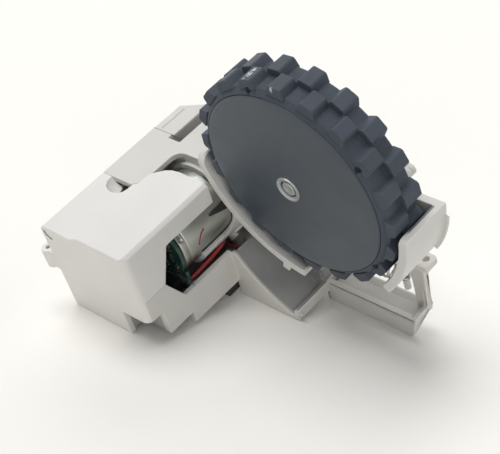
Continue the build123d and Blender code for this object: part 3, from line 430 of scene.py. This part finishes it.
def edit(obj):
    # opens the mesh for editing by vertex; done closes it
    alone(obj)
    bpy.ops.object.mode_set(mode="EDIT")
    bpy.ops.mesh.select_mode(type="VERT")


def edit_all(obj):
    edit(obj)
    bpy.ops.mesh.select_all(action="SELECT")


def done():
    bpy.ops.object.mode_set(mode="OBJECT")


def apply_all(obj):
    alone(obj)
    for modifier in list(obj.modifiers):
        bpy.ops.object.modifier_apply(modifier=modifier.name)


def moulded(name, edge, reshape=None):
    # the node's own form with its arrises rounded as the mould leaves them
    obj = nodes[name].copy()
    obj.data = nodes[name].data.copy()
    obj.name = name + "_moulded"
    obj.parent = None
    obj.matrix_world = Matrix.Identity(4)
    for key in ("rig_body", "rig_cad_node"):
        if key in obj:
            del obj[key]
    bpy.context.scene.collection.objects.link(obj)
    edit_all(obj)
    bpy.ops.mesh.remove_doubles(threshold=MERGE_M)
    bpy.ops.mesh.dissolve_limited(angle_limit=radians(FLAT_DEG))
    done()
    if reshape:
        reshape(obj)
    rounder = obj.modifiers.new("rounded", "BEVEL")
    rounder.width = edge / 1000
    rounder.segments = 2
    rounder.limit_method = "ANGLE"
    rounder.angle_limit = radians(CORNER_DEG)
    rounder.use_clamp_overlap = False
    rounder.miter_outer = "MITER_ARC"
    apply_all(obj)
    bpy.ops.object.shade_smooth_by_angle(angle=radians(SMOOTH_DEG))
    smooth = obj.modifiers.new("flats", "WEIGHTED_NORMAL")
    smooth.keep_sharp = True
    apply_all(obj)
    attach(obj, nodes[name]["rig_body"])
    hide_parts(name)
    return obj


def bring_blocks_forward(tyre):
    # the near row's fronts stand out further than the plain part's
    tread_base_r, row_back, step = 33.4, -2.4, 0.8
    local = LAID.inverted()
    edit(tyre)
    bpy.ops.mesh.select_all(action="DESELECT")
    net = bmesh.from_edit_mesh(tyre.data)
    for v in net.verts:
        spot = local @ v.co * 1000
        v.select_set(Vector((spot.x, spot.y)).length > tread_base_r and spot.z > row_back)
    bmesh.update_edit_mesh(tyre.data)
    bpy.ops.transform.translate(value=AXLE * step / 1000)
    done()


def round_edges(obj, chosen, offset, segments):
    # rounds the edges whose two ends pass the test, in the wheel's frame
    local = LAID.inverted()
    edit(obj)
    bpy.ops.mesh.select_mode(type="EDGE")
    bpy.ops.mesh.select_all(action="DESELECT")
    net = bmesh.from_edit_mesh(obj.data)
    for e in net.edges:
        if chosen(*(local @ v.co * 1000 for v in e.verts)):
            e.select_set(True)
    bmesh.update_edit_mesh(obj.data)
    bpy.ops.mesh.bevel(offset=offset / 1000, offset_type="OFFSET", segments=segments, affect="EDGES")
    done()


def near(value, target):
    # equal within the errors of a mesh, in millimetres
    return abs(value - target) < 0.06


def round_arch_ends(shell):
    # the bucket's right wall has a soft upper corner and a rounded lower tip
    corner_r, tip_r = 1.85, 0.95

    def at_corner(p):
        return p.x > 35 and near(p.y, ARCH_TOP) and near(p.z, ARCH_RIGHT_FRONT)

    def at_tip(p):
        return p.x > 20 and near((p.x - ARCH_X) * sin(ARCH_RIGHT_END), (p.y - ARCH_Y) * cos(ARCH_RIGHT_END))

    round_edges(shell, lambda a, b: at_corner(a) and at_corner(b), corner_r, 6)
    round_edges(shell, lambda a, b: at_tip(a) and at_tip(b) and max(a.z, b.z) > -1, tip_r, 4)


RESHAPE = {"gearbox_shell": round_arch_ends, "tyre": bring_blocks_forward}
# How far each node's arrises are rounded, in millimetres
ROUNDED = {
    "tyre": 0.22, "frame_housing": 0.28, "motor_cover": 0.3, "gearbox_shell": 0.22, "gearbox_lid": 0.1,
    "wheel_rim": 0.2, "lid_screws": 0.08, "cover_screws": 0.08, "gear_pins": 0.08, "motor_screws": 0.06,
    "axle_bush_front": 0.1, "axle_bush_rear": 0.1, "axle_clip": 0.07, "output_gear": 0.07,
    "stage_1_gear": 0.04, "stage_2_gear": 0.05, "stage_3_gear": 0.06, "motor_end_bell": 0.12,
    "encoder_board": 0.07, "encoder_sensor": 0.08, "connector_board": 0.07, "connector_socket": 0.1,
    "encoder_magnet": 0.12, "motor_shaft_pinion": 0.04,
}
for node_name, edge in ROUNDED.items():
    moulded(node_name, edge, reshape=RESHAPE.get(node_name))


def pick(obj, kind, wanted):
    # selects the faces or edges of a piece by their place and normal or way, in millimetres
    edit(obj)
    bpy.ops.mesh.select_mode(type="FACE" if kind == "faces" else "EDGE")
    bpy.ops.mesh.select_all(action="DESELECT")
    net = bmesh.from_edit_mesh(obj.data)
    for item in getattr(net, kind):
        if kind == "faces":
            spot = item.calc_center_median() * 1000
            chosen = wanted(spot, item.normal)
        else:
            a, b = (v.co * 1000 for v in item.verts)
            chosen = wanted((a + b) / 2, (b - a).normalized())
        item.select_set(chosen)
    bmesh.update_edit_mesh(obj.data)


def settle(obj):
    alone(obj)
    bpy.ops.object.transform_apply(location=True, rotation=True, scale=True)


def outward(obj):
    # joins what meets and turns every face to the outside
    edit_all(obj)
    bpy.ops.mesh.remove_doubles(threshold=2e-6)
    bpy.ops.mesh.normals_make_consistent(inside=False)
    done()


def finish(obj, body, slot, *replaced, smooth=SMOOTH_DEG, material=None):
    # lays a piece from the wheel's frame into the part and gives it its finish
    settle(obj)
    obj.data.transform(LAID)
    obj.data.materials.clear()
    obj.data.materials.append(material or FINISH[slot])
    alone(obj)
    bpy.ops.object.shade_smooth_by_angle(angle=radians(smooth))
    if body:
        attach(obj, body)
    if replaced:
        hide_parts(*replaced)
    return obj


def turned(name, rings, centre=(0.0, 0.0), steps=96, loop=False):
    # a circle drawn out and sized ring by ring along the axle; a loop closes on its first ring
    x, y = centre
    radius, height = rings[0]
    bpy.ops.mesh.primitive_circle_add(vertices=steps, radius=radius / 1000, location=mm(x, y, height))
    obj = bpy.context.object
    obj.name = name
    settle(obj)
    edit_all(obj)
    for r, z in rings[1:] + ([rings[0]] if loop else []):
        bpy.ops.mesh.extrude_edges_move()
        if abs(r - radius) > 1e-9:
            bpy.ops.transform.resize(value=(r / radius, r / radius, 1.0), center_override=mm(x, y, height))
        bpy.ops.transform.translate(value=mm(0, 0, z - height))
        radius, height = r, z
    if not loop:
        bpy.ops.mesh.edge_face_add()
    done()
    outward(obj)
    if not loop:
        pick(obj, "edges", lambda spot, way: False)
        net = bmesh.from_edit_mesh(obj.data)
        for e in net.edges:
            e.select_set(e.is_boundary)
        bmesh.update_edit_mesh(obj.data)
        if any(e.select for e in net.edges):
            bpy.ops.mesh.edge_face_add()
        done()
        outward(obj)
    return obj


def block(name, x0, x1, y0, y1, z0, z1, edge=0.0):
    # a moulded or cut block with its arrises eased
    bpy.ops.mesh.primitive_cube_add(size=1, location=mm((x0 + x1) / 2, (y0 + y1) / 2, (z0 + z1) / 2),
                                    scale=mm(x1 - x0, y1 - y0, z1 - z0))
    obj = bpy.context.object
    obj.name = name
    settle(obj)
    if edge:
        edit_all(obj)
        bpy.ops.mesh.bevel(offset=edge / 1000, segments=2)
        done()
    return obj


def joined(name, pieces):
    bpy.ops.object.select_all(action="DESELECT")
    for piece in pieces:
        piece.select_set(True)
    bpy.context.view_layer.objects.active = pieces[0]
    bpy.ops.object.join()
    pieces[0].name = name
    return pieces[0]


# Wheel
def crown(r):
    # the height of the hub cap's domed face
    return CAP_DOME * (1 - (r / CAP_R) ** 2)


def make_hub_cap():
    face = [(r, crown(r)) for r in (2.75, 4.0, 6.0, 9.0, 12.5, 16.0, 19.5, 22.5, 25.0, 27.0, 28.2)]
    back = [(28.8, 0.09), (29.1, 0.05), (29.4, 0.02), (29.8, -0.02), (30.15, -0.08), (30.32, -0.2),
            (30.38, -0.4), (30.38, -1.6), (28.6, -1.6), (2.75, -0.3)]
    cap = turned("hub_cap_turned", face + back, steps=160, loop=True)
    return finish(cap, "wheel", "cap_plastic", "hub_cap", smooth=50)


def make_hub_washer():
    section = [(4.1, 1.1), (4.1, 1.56), (4.02, 1.72), (3.86, 1.78), (3.66, 1.77), (3.48, 1.68), (3.36, 1.56),
               (3.1, 1.5), (2.9, 1.49), (2.8, 1.42), (2.74, 1.2), (2.74, 0.2), (3.4, 0.2), (3.4, 1.1)]
    washer = turned("hub_washer_turned", section, steps=96, loop=True)
    return finish(washer, "wheel", "steel", "hub_washer", smooth=30, material=FINISH["dull_steel"])


def make_axle():
    # the riveted end sits just inside the washer; the groove at the back takes the clip
    section = [(0.35, 1.36), (0.6, 1.44), (1.4, 1.5), (1.95, 1.5), (2.15, 1.44), (2.25, 1.3), (2.25, 1.0),
               (2.5, 0.9), (2.5, -29.9), (2.1, -29.9), (2.1, -30.4), (2.5, -30.4), (2.5, -30.9), (2.3, -31.1),
               (0.3, -31.1)]
    shift = axle_low() - section[-1][1]
    section = [(r, z if z > -20 else z + shift) for r, z in section]
    axle = turned("wheel_axle_turned", section, steps=64)
    return finish(axle, "wheel", "steel", "wheel_axle", smooth=30, material=FINISH["dull_steel"])


def axle_low():
    # the axle's far end in the wheel's frame, read from the solid
    inverse = LAID.inverted()
    return min((inverse @ v.co).z for v in nodes["wheel_axle"].data.vertices) * 1000


make_hub_cap()
make_hub_washer()
make_axle()


# Motor, its board and wires
def wire(name, points, radius, body, slot, *replaced, material=None, resolution=10):
    # a round wire along a smooth line drawn by control points
    data = bpy.data.curves.new(name, "CURVE")
    data.dimensions = "3D"
    data.bevel_depth = radius / 1000
    data.bevel_resolution = 5
    data.resolution_u = resolution
    data.use_fill_caps = True
    spline = data.splines.new("NURBS")
    spline.points.add(len(points) - 1)
    for point, place in zip(spline.points, points):
        point.co = (*mm(*place), 1.0)
    spline.order_u = 4
    spline.use_endpoint_u = True
    obj = bpy.data.objects.new(name, data)
    bpy.context.scene.collection.objects.link(obj)
    alone(obj)
    bpy.ops.object.convert(target="MESH")
    return finish(bpy.context.object, body, slot, *replaced, material=material, smooth=60)


def on_can(angle, radius, z):
    return (MOTOR[0] + radius * cos(radians(angle)), MOTOR[1] + radius * sin(radians(angle)), z)


def make_motor_can():
    section = [(1.06, -17.3), (2.8, -17.3), (3.0, -17.1), (3.0, -15.9), (11.2, -15.9), (11.8, -15.7),
               (12.1, -15.4), (12.2, -14.9), (12.2, -9.0), (12.2, -2.0), (12.2, 5.0), (12.2, 11.1),
               (12.14, 11.35), (11.95, 11.5), (11.95, 11.95), (12.14, 12.1), (12.2, 12.3), (12.2, 13.4),
               (12.12, 13.8), (11.9, 14.08), (11.5, 14.2), (10.0, 14.2), (9.8, 14.12), (1.06, 14.12)]
    can = turned("motor_can_drawn", section, centre=MOTOR, steps=144)
    # four dents where the can is staked to its end bell
    for angle in (28, 118, 208, 298):
        way = Vector((cos(radians(angle)), sin(radians(angle)), 0))
        side = Vector((-way.y, way.x, 0))

        def staked(spot, normal):
            off = spot - Vector((*MOTOR, spot.z))
            return 12.25 < spot.z < 13.45 and off.dot(way) > 11 and abs(off.dot(side)) < 1.0

        pick(can, "faces", staked)
        bpy.ops.transform.translate(value=-way * 0.3 / 1000)
        done()
    return finish(can, "arm", "motor_steel", "motor_can", smooth=40)


def wrapped(name, angle_0, angle_1, z0, z1, radius, thickness, rows=1):
    # a patch of sheet that follows the can
    bpy.ops.mesh.primitive_cylinder_add(vertices=180, radius=radius / 1000, depth=(z1 - z0) / 1000,
                                        end_fill_type="NOTHING", location=mm(*MOTOR, (z0 + z1) / 2))
    patch = bpy.context.object
    patch.name = name
    settle(patch)
    middle = radians((angle_0 + angle_1) / 2)
    half = radians((angle_1 - angle_0) / 2)
    away = Vector((cos(middle), sin(middle), 0))

    def outside(spot, normal):
        off = Vector((spot.x - MOTOR[0], spot.y - MOTOR[1], 0)).normalized()
        return off.dot(away) < cos(half)

    pick(patch, "faces", outside)
    bpy.ops.mesh.delete(type="FACE")
    if rows > 1:
        bpy.ops.mesh.select_all(action="DESELECT")
        net = bmesh.from_edit_mesh(patch.data)
        for e in net.edges:
            a, b = (v.co for v in e.verts)
            e.select_set(abs(a.z - b.z) > 1e-5)
        bmesh.update_edit_mesh(patch.data)
        bpy.ops.mesh.subdivide(number_cuts=rows)
    done()
    if thickness:
        wall = patch.modifiers.new("wall", "SOLIDIFY")
        wall.thickness = thickness / 1000
        wall.offset = -1
        apply_all(patch)
    return patch


def make_can_tongue():
    # a thin dark tapered tongue on the can under the arch
    z0, z1, cut_r = -7.4, 0.1, CAN_R + 0.4
    pad = wrapped("can_pad", 8.0, 25.0, z0, z1, CAN_R + 0.42, 0.0, rows=3)
    for low, tip, facing in ((9.0, 19.5, 1), (25.5, 23.0, -1)):
        base = Vector(mm(*on_can(low, cut_r, z0)))
        point = Vector(mm(*on_can(tip, cut_r, z1)))
        side = (point - base).cross(base - Vector(mm(*MOTOR, z0))).normalized()
        edit_all(pad)
        bpy.ops.mesh.bisect(plane_co=base, plane_no=side * facing, clear_inner=True)
        done()
    wall = pad.modifiers.new("wall", "SOLIDIFY")
    wall.thickness = 0.42 / 1000
    wall.offset = -1
    round_over = pad.modifiers.new("round", "BEVEL")
    round_over.width = 0.15 / 1000
    round_over.segments = 2
    apply_all(pad)
    return finish(pad, "arm", "bell_plastic")


def make_inspection_mark():
    # a short stroke of red ink on the can, a wire sunk until only its back shows
    stroke = ((11.6, 3.9), (10.0, 4.9), (6.3, 6.1), (0.5, 6.9), (-5.4, 7.6))
    path = [on_can(angle, CAN_R - 0.5, z) for angle, z in stroke]
    return wire("inspection_mark", path, 0.62, "arm", "wire_red", material=RED_INK)


def crumple(obj, amount, scale):
    # small stiff creases, as thin film keeps when it has been pressed down by hand
    texture = bpy.data.textures.new(obj.name + "_creases", "VORONOI")
    texture.noise_scale = scale / 1000
    texture.distance_metric = "DISTANCE"
    texture.weight_1 = -1.0
    texture.weight_2 = 1.0
    ripple = obj.modifiers.new("creases", "DISPLACE")
    ripple.texture = texture
    ripple.strength = amount / 1000
    ripple.mid_level = 0.3
    apply_all(obj)


def make_films():
    # two scraps of clear film, one over the can and one by the board
    over = wrapped("insulating_film", 52.0, 138.0, -7.5, 3.0, CAN_R + 0.25, 0.0, rows=26)
    middle = mm(-46.4, -44.0, 16.6)
    bpy.ops.mesh.primitive_grid_add(x_subdivisions=46, y_subdivisions=12, size=0.001, location=middle)
    strip = bpy.context.object
    strip.name = "board_film"
    settle(strip)
    edit_all(strip)
    bpy.ops.transform.resize(value=(13.0, 3.2, 1.0), center_override=middle)
    done()
    for film, amount, scale in ((over, 0.55, 2.6), (strip, 1.1, 2.0)):
        crumple(film, amount, scale)
        skin = film.modifiers.new("skin", "SOLIDIFY")
        skin.thickness = 0.06 / 1000
        apply_all(film)
        finish(film, "arm", "socket_plastic", material=FILM, smooth=20)


def film_material():
    material, tree, shader = start_material("clear_film")
    where = put_node(tree, "ShaderNodeTexCoord").outputs["Object"]
    haze = spread(tree, noise(tree, where, 500.0, 3.0), 0.35, 0.7, 0.06, 0.28)
    tree.links.new(haze, shader.inputs["Roughness"])
    shader.inputs["Base Color"].default_value = srgb(238, 240, 240)
    shader.inputs["Transmission Weight"].default_value = 0.93
    shader.inputs["IOR"].default_value = 1.45
    bump(tree, shader, noise(tree, where, 1500.0, 3.0), 0.6, 0.00008)
    return material


def make_board_parts():
    # small parts soldered to the encoder board's outer face
    face = 16.0
    cx, cy = MOTOR
    chip_x = cx + 7.7
    chip = block("encoder_chip", chip_x - 1.5, chip_x + 1.5, cy - 1.5, cy + 1.5, face, face + 1.0, 0.12)
    finish(chip, "arm", "bell_plastic")
    capacitors = ((cx + 9.2, cy - 4.4, 0), (cx + 9.0, cy - 6.2, 0), (cx + 5.0, cy - 4.6, 1),
                  (cx - 4.6, cy - 7.4, 0), (cx - 6.4, cy + 5.4, 1), (cx + 3.0, cy + 9.2, 0),
                  (cx + 8.8, cy + 4.6, 1))
    tin = []
    for side in (-1, 1):
        for k in range(3):
            x = chip_x + 0.95 * (k - 1)
            y = cy + side * 1.85
            tin.append(block("leg", x - 0.2, x + 0.2, y - 0.45, y + 0.45, face + 0.02, face + 0.35, 0.05))
    for x, y, turn in capacitors:
        wide, tall = 0.2 + 0.25 * turn, 0.42 - 0.22 * turn
        for end in (-0.62, 0.62):
            ex, ey = (0, end) if turn else (end, 0)
            tin.append(block("cap_end", x + ex - wide, x + ex + wide, y + ey - tall, y + ey + tall,
                             face, face + 0.52, 0.06))
    for k in range(6):
        tin.append(dome_drop("pad", cx - 0.2 + 1.7 * k, -41.7, face, 0.5, 0.32))
    finish(joined("board_solder", tin), "arm", "steel")
    bodies = []
    for x, y, turn in capacitors:
        wide, tall = (0.4, 0.45) if turn else (0.45, 0.4)
        bodies.append(block("cap_body", x - wide, x + wide, y - tall, y + tall, face, face + 0.5, 0.05))
    finish(joined("board_capacitors", bodies), "arm", "bell_plastic", material=CERAMIC)


def dome_drop(name, x, y, z, radius, high):
    # a bead of solder on a face that looks out along the axle
    bpy.ops.mesh.primitive_uv_sphere_add(segments=16, ring_count=10, radius=1.0, location=mm(x, y, z),
                                         scale=mm(radius, radius, high))
    bead = bpy.context.object
    bead.name = name
    settle(bead)
    edit_all(bead)
    bpy.ops.mesh.bisect(plane_co=mm(x, y, z), plane_no=(0, 0, 1), clear_inner=True, use_fill=True)
    done()
    return bead


def make_leads():
    # from the encoder board's foot, past the collar, to the board under the strip
    red = [(-43.9, -44.9, 14.9), (-43.7, -44.8, 13.6), (-43.6, -44.5, 9.0), (-43.6, -43.9, 3.0),
           (-44.1, -43.5, -1.6), (-46.4, -45.6, -3.6), (-49.6, -50.0, -5.6), (-49.8, -53.6, -8.6),
           (-44.6, -54.6, -11.0), (LEADS_X[0], -56.45, LEADS_Z)]
    black = [(-46.4, -47.0, 14.9), (-46.3, -46.9, 13.4), (-46.2, -47.0, 9.0), (-46.3, -47.2, 3.0),
             (-46.4, -47.2, -2.0), (-48.0, -48.6, -5.0), (-51.0, -51.6, -6.8), (-51.0, -54.0, -9.6),
             (-45.9, -54.8, -11.2), (LEADS_X[1], -56.45, LEADS_Z)]
    for colour, path in (("red", red), ("black", black)):
        lead = wire("lead_" + colour + "_soft", path, 0.62, None, "wire_" + colour, "lead_" + colour)
        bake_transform(lead)


FILM = film_material()
RED_INK = plastic("red_ink", srgb(128, 52, 48), 0.55, cloud=0.3)
CERAMIC = plastic("ceramic_part", srgb(92, 80, 66), 0.4, cloud=0.08)

make_motor_can()
make_can_tongue()
make_inspection_mark()
make_films()
make_board_parts()
make_leads()


# Small parts round the motor and in the box
def make_can_seam_shadow():
    # painted shadow: a thin dark strip along the shaded gap between the can and the collar that holds it
    path = [(-25.2, 6.9), (-25.2, 3.0), (-25.0, 0.0), (-24.4, -2.6), (-22.8, -4.9), (-18.6, -6.5),
            (-11.0, -7.35), (0.0, -7.55), (14.0, -7.55), (30.0, -7.55), (50.0, -7.5), (70.0, -7.45)]
    path = [on_can(angle, CAN_R + 0.14, z) for angle, z in path]
    wire("can_gasket", path, 0.24, "arm", "bell_plastic", resolution=16)


def make_collar_web():
    # rounds the corner between the collar and its cradle
    web = wrapped("collar_web", -27.0, -2.0, -7.7, -2.0, 13.8, 1.42)
    lean = -4.4
    bpy.ops.mesh.primitive_cylinder_add(vertices=96, radius=4.6 / 1000, depth=12 / 1000,
                                        location=mm(*on_can(lean, 13, -3.0)),
                                        rotation=(0, radians(90), radians(lean)))
    hole = bpy.context.object
    cut = web.modifiers.new("round", "BOOLEAN")
    cut.object = hole
    cut.operation = "DIFFERENCE"
    apply_all(web)
    bpy.data.objects.remove(hole)
    finish(web, "arm", "arm_plastic")


def make_lead_clip():
    # a moulded hook below the cradle that keeps the leads in place
    tip = block("lead_clip", -46.2, -42.1, -46.6, -43.2, -6.9, -5.9)
    for spot, way in (((-42.1, -43.4, -6), (0.75, -0.66, 0)), ((-45.9, -43.9, -6), (-0.9, 0.43, 0))):
        edit_all(tip)
        bpy.ops.mesh.bisect(plane_co=mm(*spot), plane_no=way, clear_outer=True, use_fill=True)
        done()
    soft = tip.modifiers.new("soft", "BEVEL")
    soft.width = 0.15 / 1000
    soft.segments = 2
    apply_all(tip)
    finish(tip, "arm", "arm_plastic")
    arm_path = [(-44.4, -43.9, -6.6), (-43.2, -42.6, -8.4), (-42.4, -41.6, -10.4)]
    wire("clip_arm", arm_path, 0.5, "arm", "arm_plastic")


def make_scoop_bowl():
    # the wall of the thumb scoop's bowl, under the cover's skin
    bpy.ops.mesh.primitive_uv_sphere_add(segments=72, ring_count=36, radius=5.2 / 1000,
                                         location=mm(-68.3, -16.0, 10.0))
    bowl = bpy.context.object
    bowl.name = "scoop_bowl"
    settle(bowl)
    cuts = (((0, -17.72, 0), (0, 1, 0)), ((-68.6, -16.0, 12.0), (0.92, 0, -0.38)), ((0, 0, 9.62), (0, 0, -1)))
    for spot, way in cuts:
        edit_all(bowl)
        bpy.ops.mesh.bisect(plane_co=mm(*spot), plane_no=way, clear_outer=True)
        done()
    wall = bowl.modifiers.new("wall", "SOLIDIFY")
    wall.thickness = 0.7 / 1000
    wall.offset = 1
    apply_all(bowl)
    finish(bowl, "frame", "cover_plastic")


def make_connector_parts():
    # small parts and the two leads' joints on the board under the strip, all on its lower face
    y = -57.7
    tin = []
    body = []
    for x, z, wide, long in ((-43.4, -10.6, 0.9, 1.5), (-42.9, -7.2, 0.8, 1.4), (-43.3, 0.4, 1.0, 1.8),
                             (-42.8, 3.8, 0.8, 1.4), (-46.5, -6.0, 1.2, 2.0), (-57.0, -9.0, 1.2, 2.0)):
        for end in (-1, 1):
            tin.append(block("end", x - wide / 2, x + wide / 2, y - 0.55, y + 0.02,
                             z + end * long / 2 - 0.22, z + end * long / 2 + 0.22, 0.06))
        body.append(block("body", x - wide / 2 + 0.04, x + wide / 2 - 0.04, y - 0.5, y + 0.02,
                          z - long / 2 + 0.2, z + long / 2 - 0.2, 0.05))
    for x in LEADS_X:
        # the bead is made upright, then turned to hang from the board
        bead = dome_drop("joint", x, LEADS_Z, 56.5, 0.95, 0.5)
        bead.data.transform(Matrix.Rotation(radians(90), 4, "X"))
        tin.append(bead)
    finish(joined("connector_solder", tin), "frame", "steel")
    finish(joined("connector_parts", body), "frame", "bell_plastic", material=CERAMIC)


make_can_seam_shadow()
make_collar_web()
make_lead_clip()
make_scoop_bowl()
make_connector_parts()


# Extension spring: one wire from eye to eye
def make_spring_wire():
    coil_r, turns, wire_r = 2.6, 14, 0.45
    hook_r, neck, peg_eye_r, arm_end = 2.05, 1.6, 1.65, -30.7
    eye_steps, turn_steps = 16, 14
    y, z = SPRING_Y, SPRING_Z
    arm_eye = arm_end + hook_r
    start = arm_eye + hook_r + neck
    length = PEG_X - peg_eye_r - neck - start
    path = []
    for k in range(eye_steps + 1):
        a = radians(20 + 340 * k / eye_steps)
        path.append((arm_eye + hook_r * cos(a), y, z - hook_r * sin(a)))
    path.append((start - 0.55, y, z))
    path.append((start - 0.25, y, z - coil_r * 0.6))
    for k in range(turns * turn_steps + 1):
        a = 2 * pi * k / turn_steps
        path.append((start + length * k / (turns * turn_steps), y + coil_r * sin(a), z - coil_r * cos(a)))
    end = start + length
    path.append((end + 0.25, y, z - coil_r * 0.6))
    path.append((end + 0.55, y, z))
    for k in range(eye_steps + 1):
        a = radians(180 + 340 * k / eye_steps)
        path.append((PEG_X + peg_eye_r * cos(a), y, z - peg_eye_r * sin(a)))
    spring = wire("tension_spring_wound", path, wire_r, None, "steel", "tension_spring", resolution=3)
    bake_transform(spring)


make_spring_wire()


# Dark strips painted as shadow in grooves, and the tray's inner floor
def make_dark_lines():
    # painted shadow: dark strips in the cover's corner slit, along the tray's wall and in the rear block's
    # step
    x, y, z, slit_r = -74.9, -19.6, 36.02, 2.55
    arc = [(x + slit_r * cos(radians(a)), y + slit_r * sin(radians(a)), z) for a in range(180, 272, 10)]
    wire("slit_dirt", arc, 0.4, "frame", "bell_plastic", material=SHADOW_STRIP)
    for name, box_size in (("tray_groove_dirt", (-15.8, 17.6, -60.52, -60.2, -15.16, -14.95)),
                           ("rear_step_dirt", (-77.9, -64.3, -18.42, -18.2, -14.5, -14.02))):
        strip = block(name, *box_size, 0.05)
        finish(strip, "frame", "bell_plastic", material=SHADOW_STRIP)


def make_tray_floor():
    # its right end is cut to the tray's slanting wall
    plate = block("tray_floor", -15.3, 17.0, -62.6, -61.4, -23.2, -16.3, 0.15)
    edit_all(plate)
    bpy.ops.mesh.bisect(plane_co=mm(17.0, -61.4, -18), plane_no=(0.86, -0.5, 0), clear_outer=True,
                        use_fill=True)
    done()
    finish(plate, "frame", "housing_plastic")


def make_peg_sleeve():
    # round the peg that the spring's eye hangs on, its narrow end up
    section = [(1.12, 0.0), (1.5, 0.0), (1.5, 3.6), (1.38, 4.0), (1.12, 4.15)]
    sleeve = turned("peg_sleeve", section, steps=40, loop=True)
    stand = Matrix.Rotation(radians(-90), 4, "X")
    sleeve.data.transform(Matrix.Translation(mm(PEG_X, -49.75, SPRING_Z)) @ stand)
    finish(sleeve, "frame", "housing_plastic")


# a dark grey for the strips that stand for shadow in the grooves and the step
SHADOW_STRIP = plastic("groove_dirt", srgb(70, 68, 64), 0.8, cloud=0.25)

make_dark_lines()
make_tray_floor()
make_peg_sleeve()


# Camera, lamps and table
PHOTO_WIDE = 500
FOCAL_PX = 1473.03
SENSOR_MM = 36.0
CAMERA_AT = Vector((0.26923, -0.26448, 0.25469))
CAMERA_RIGHT = Vector((0.71753, 0.69466, -0.05089))
CAMERA_FORWARD = Vector((-0.62021, 0.60393, -0.50060))


def make_camera():
    data = bpy.data.cameras.new("camera")
    data.sensor_width = SENSOR_MM
    data.lens = FOCAL_PX / PHOTO_WIDE * SENSOR_MM
    data.clip_start = 0.01
    data.clip_end = 20.0
    camera = bpy.data.objects.new("camera", data)
    forward = CAMERA_FORWARD.normalized()
    right = (CAMERA_RIGHT - forward * CAMERA_RIGHT.dot(forward)).normalized()
    up = right.cross(forward)
    turn = Matrix((right, up, -forward)).transposed().to_4x4()
    camera.matrix_world = Matrix.Translation(CAMERA_AT) @ turn
    bpy.context.scene.collection.objects.link(camera)
    bpy.context.scene.camera = camera


def make_sun(name, azimuth, height, strength, spread_deg):
    data = bpy.data.lights.new(name, "SUN")
    data.energy = strength
    data.angle = radians(spread_deg)
    lamp = bpy.data.objects.new(name, data)
    side = cos(radians(height))
    direction = Vector((side * cos(radians(azimuth)), side * sin(radians(azimuth)), sin(radians(height))))
    lamp.rotation_euler = direction.to_track_quat("Z", "Y").to_euler()
    bpy.context.scene.collection.objects.link(lamp)


def make_world():
    # a bright backdrop to the eye, in gloss and through film, that hardly lights the part
    world = bpy.data.worlds.new("room")
    world.use_nodes = True
    tree = world.node_tree
    tree.nodes.clear()
    out = tree.nodes.new("ShaderNodeOutputWorld")
    path = tree.nodes.new("ShaderNodeLightPath")
    fill = put_node(tree, "ShaderNodeBackground", in_Color=(0.98, 0.99, 1.0, 1), in_Strength=0.04)
    view = put_node(tree, "ShaderNodeBackground", in_Color=(0.93, 0.92, 0.90, 1), in_Strength=1.0)
    seen = math_node(tree, "MAXIMUM", path.outputs["Is Camera Ray"], path.outputs["Is Transmission Ray"])
    seen = math_node(tree, "MAXIMUM", seen, path.outputs["Is Glossy Ray"])
    mix = put_node(tree, "ShaderNodeMixShader")
    tree.links.new(seen, mix.inputs[0])
    tree.links.new(fill.outputs[0], mix.inputs[1])
    tree.links.new(view.outputs[0], mix.inputs[2])
    tree.links.new(mix.outputs[0], out.inputs["Surface"])
    bpy.context.scene.world = world


def make_floor():
    # a pale, almost even table top
    bpy.ops.mesh.primitive_grid_add(x_subdivisions=8, y_subdivisions=8, size=8.0, location=(0, 0, 0))
    floor = bpy.context.object
    floor.name = "table"
    material, tree, shader = start_material("table_top")
    where = put_node(tree, "ShaderNodeTexCoord").outputs["Object"]
    soft = spread(tree, noise(tree, where, 9.0, 3.0), 0.3, 0.7, -0.006, 0.006)
    tint = put_node(tree, "ShaderNodeMix")
    tint.data_type = "RGBA"
    tint.inputs[6].default_value = srgb(247, 245, 240)
    tint.inputs[7].default_value = srgb(255, 253, 249)
    tree.links.new(soft, tint.inputs[0])
    tree.links.new(tint.outputs[2], shader.inputs["Base Color"])
    shader.inputs["Roughness"].default_value = 0.6
    shader.inputs["Specular IOR Level"].default_value = 0.2
    floor.data.materials.append(material)


make_camera()
make_floor()
make_world()
make_sun("ceiling_light", 225.0, 72.0, 1.75, 45.0)
make_sun("overhead_light", 0.0, 89.0, 0.45, 40.0)
make_sun("window_light", 135.0, 25.0, 1.05, 50.0)
make_sun("front_light", 315.0, 25.0, 0.72, 50.0)
make_sun("wall_light", 45.0, 25.0, 0.6, 50.0)

scene = bpy.context.scene
scene.view_settings.view_transform = "Standard"
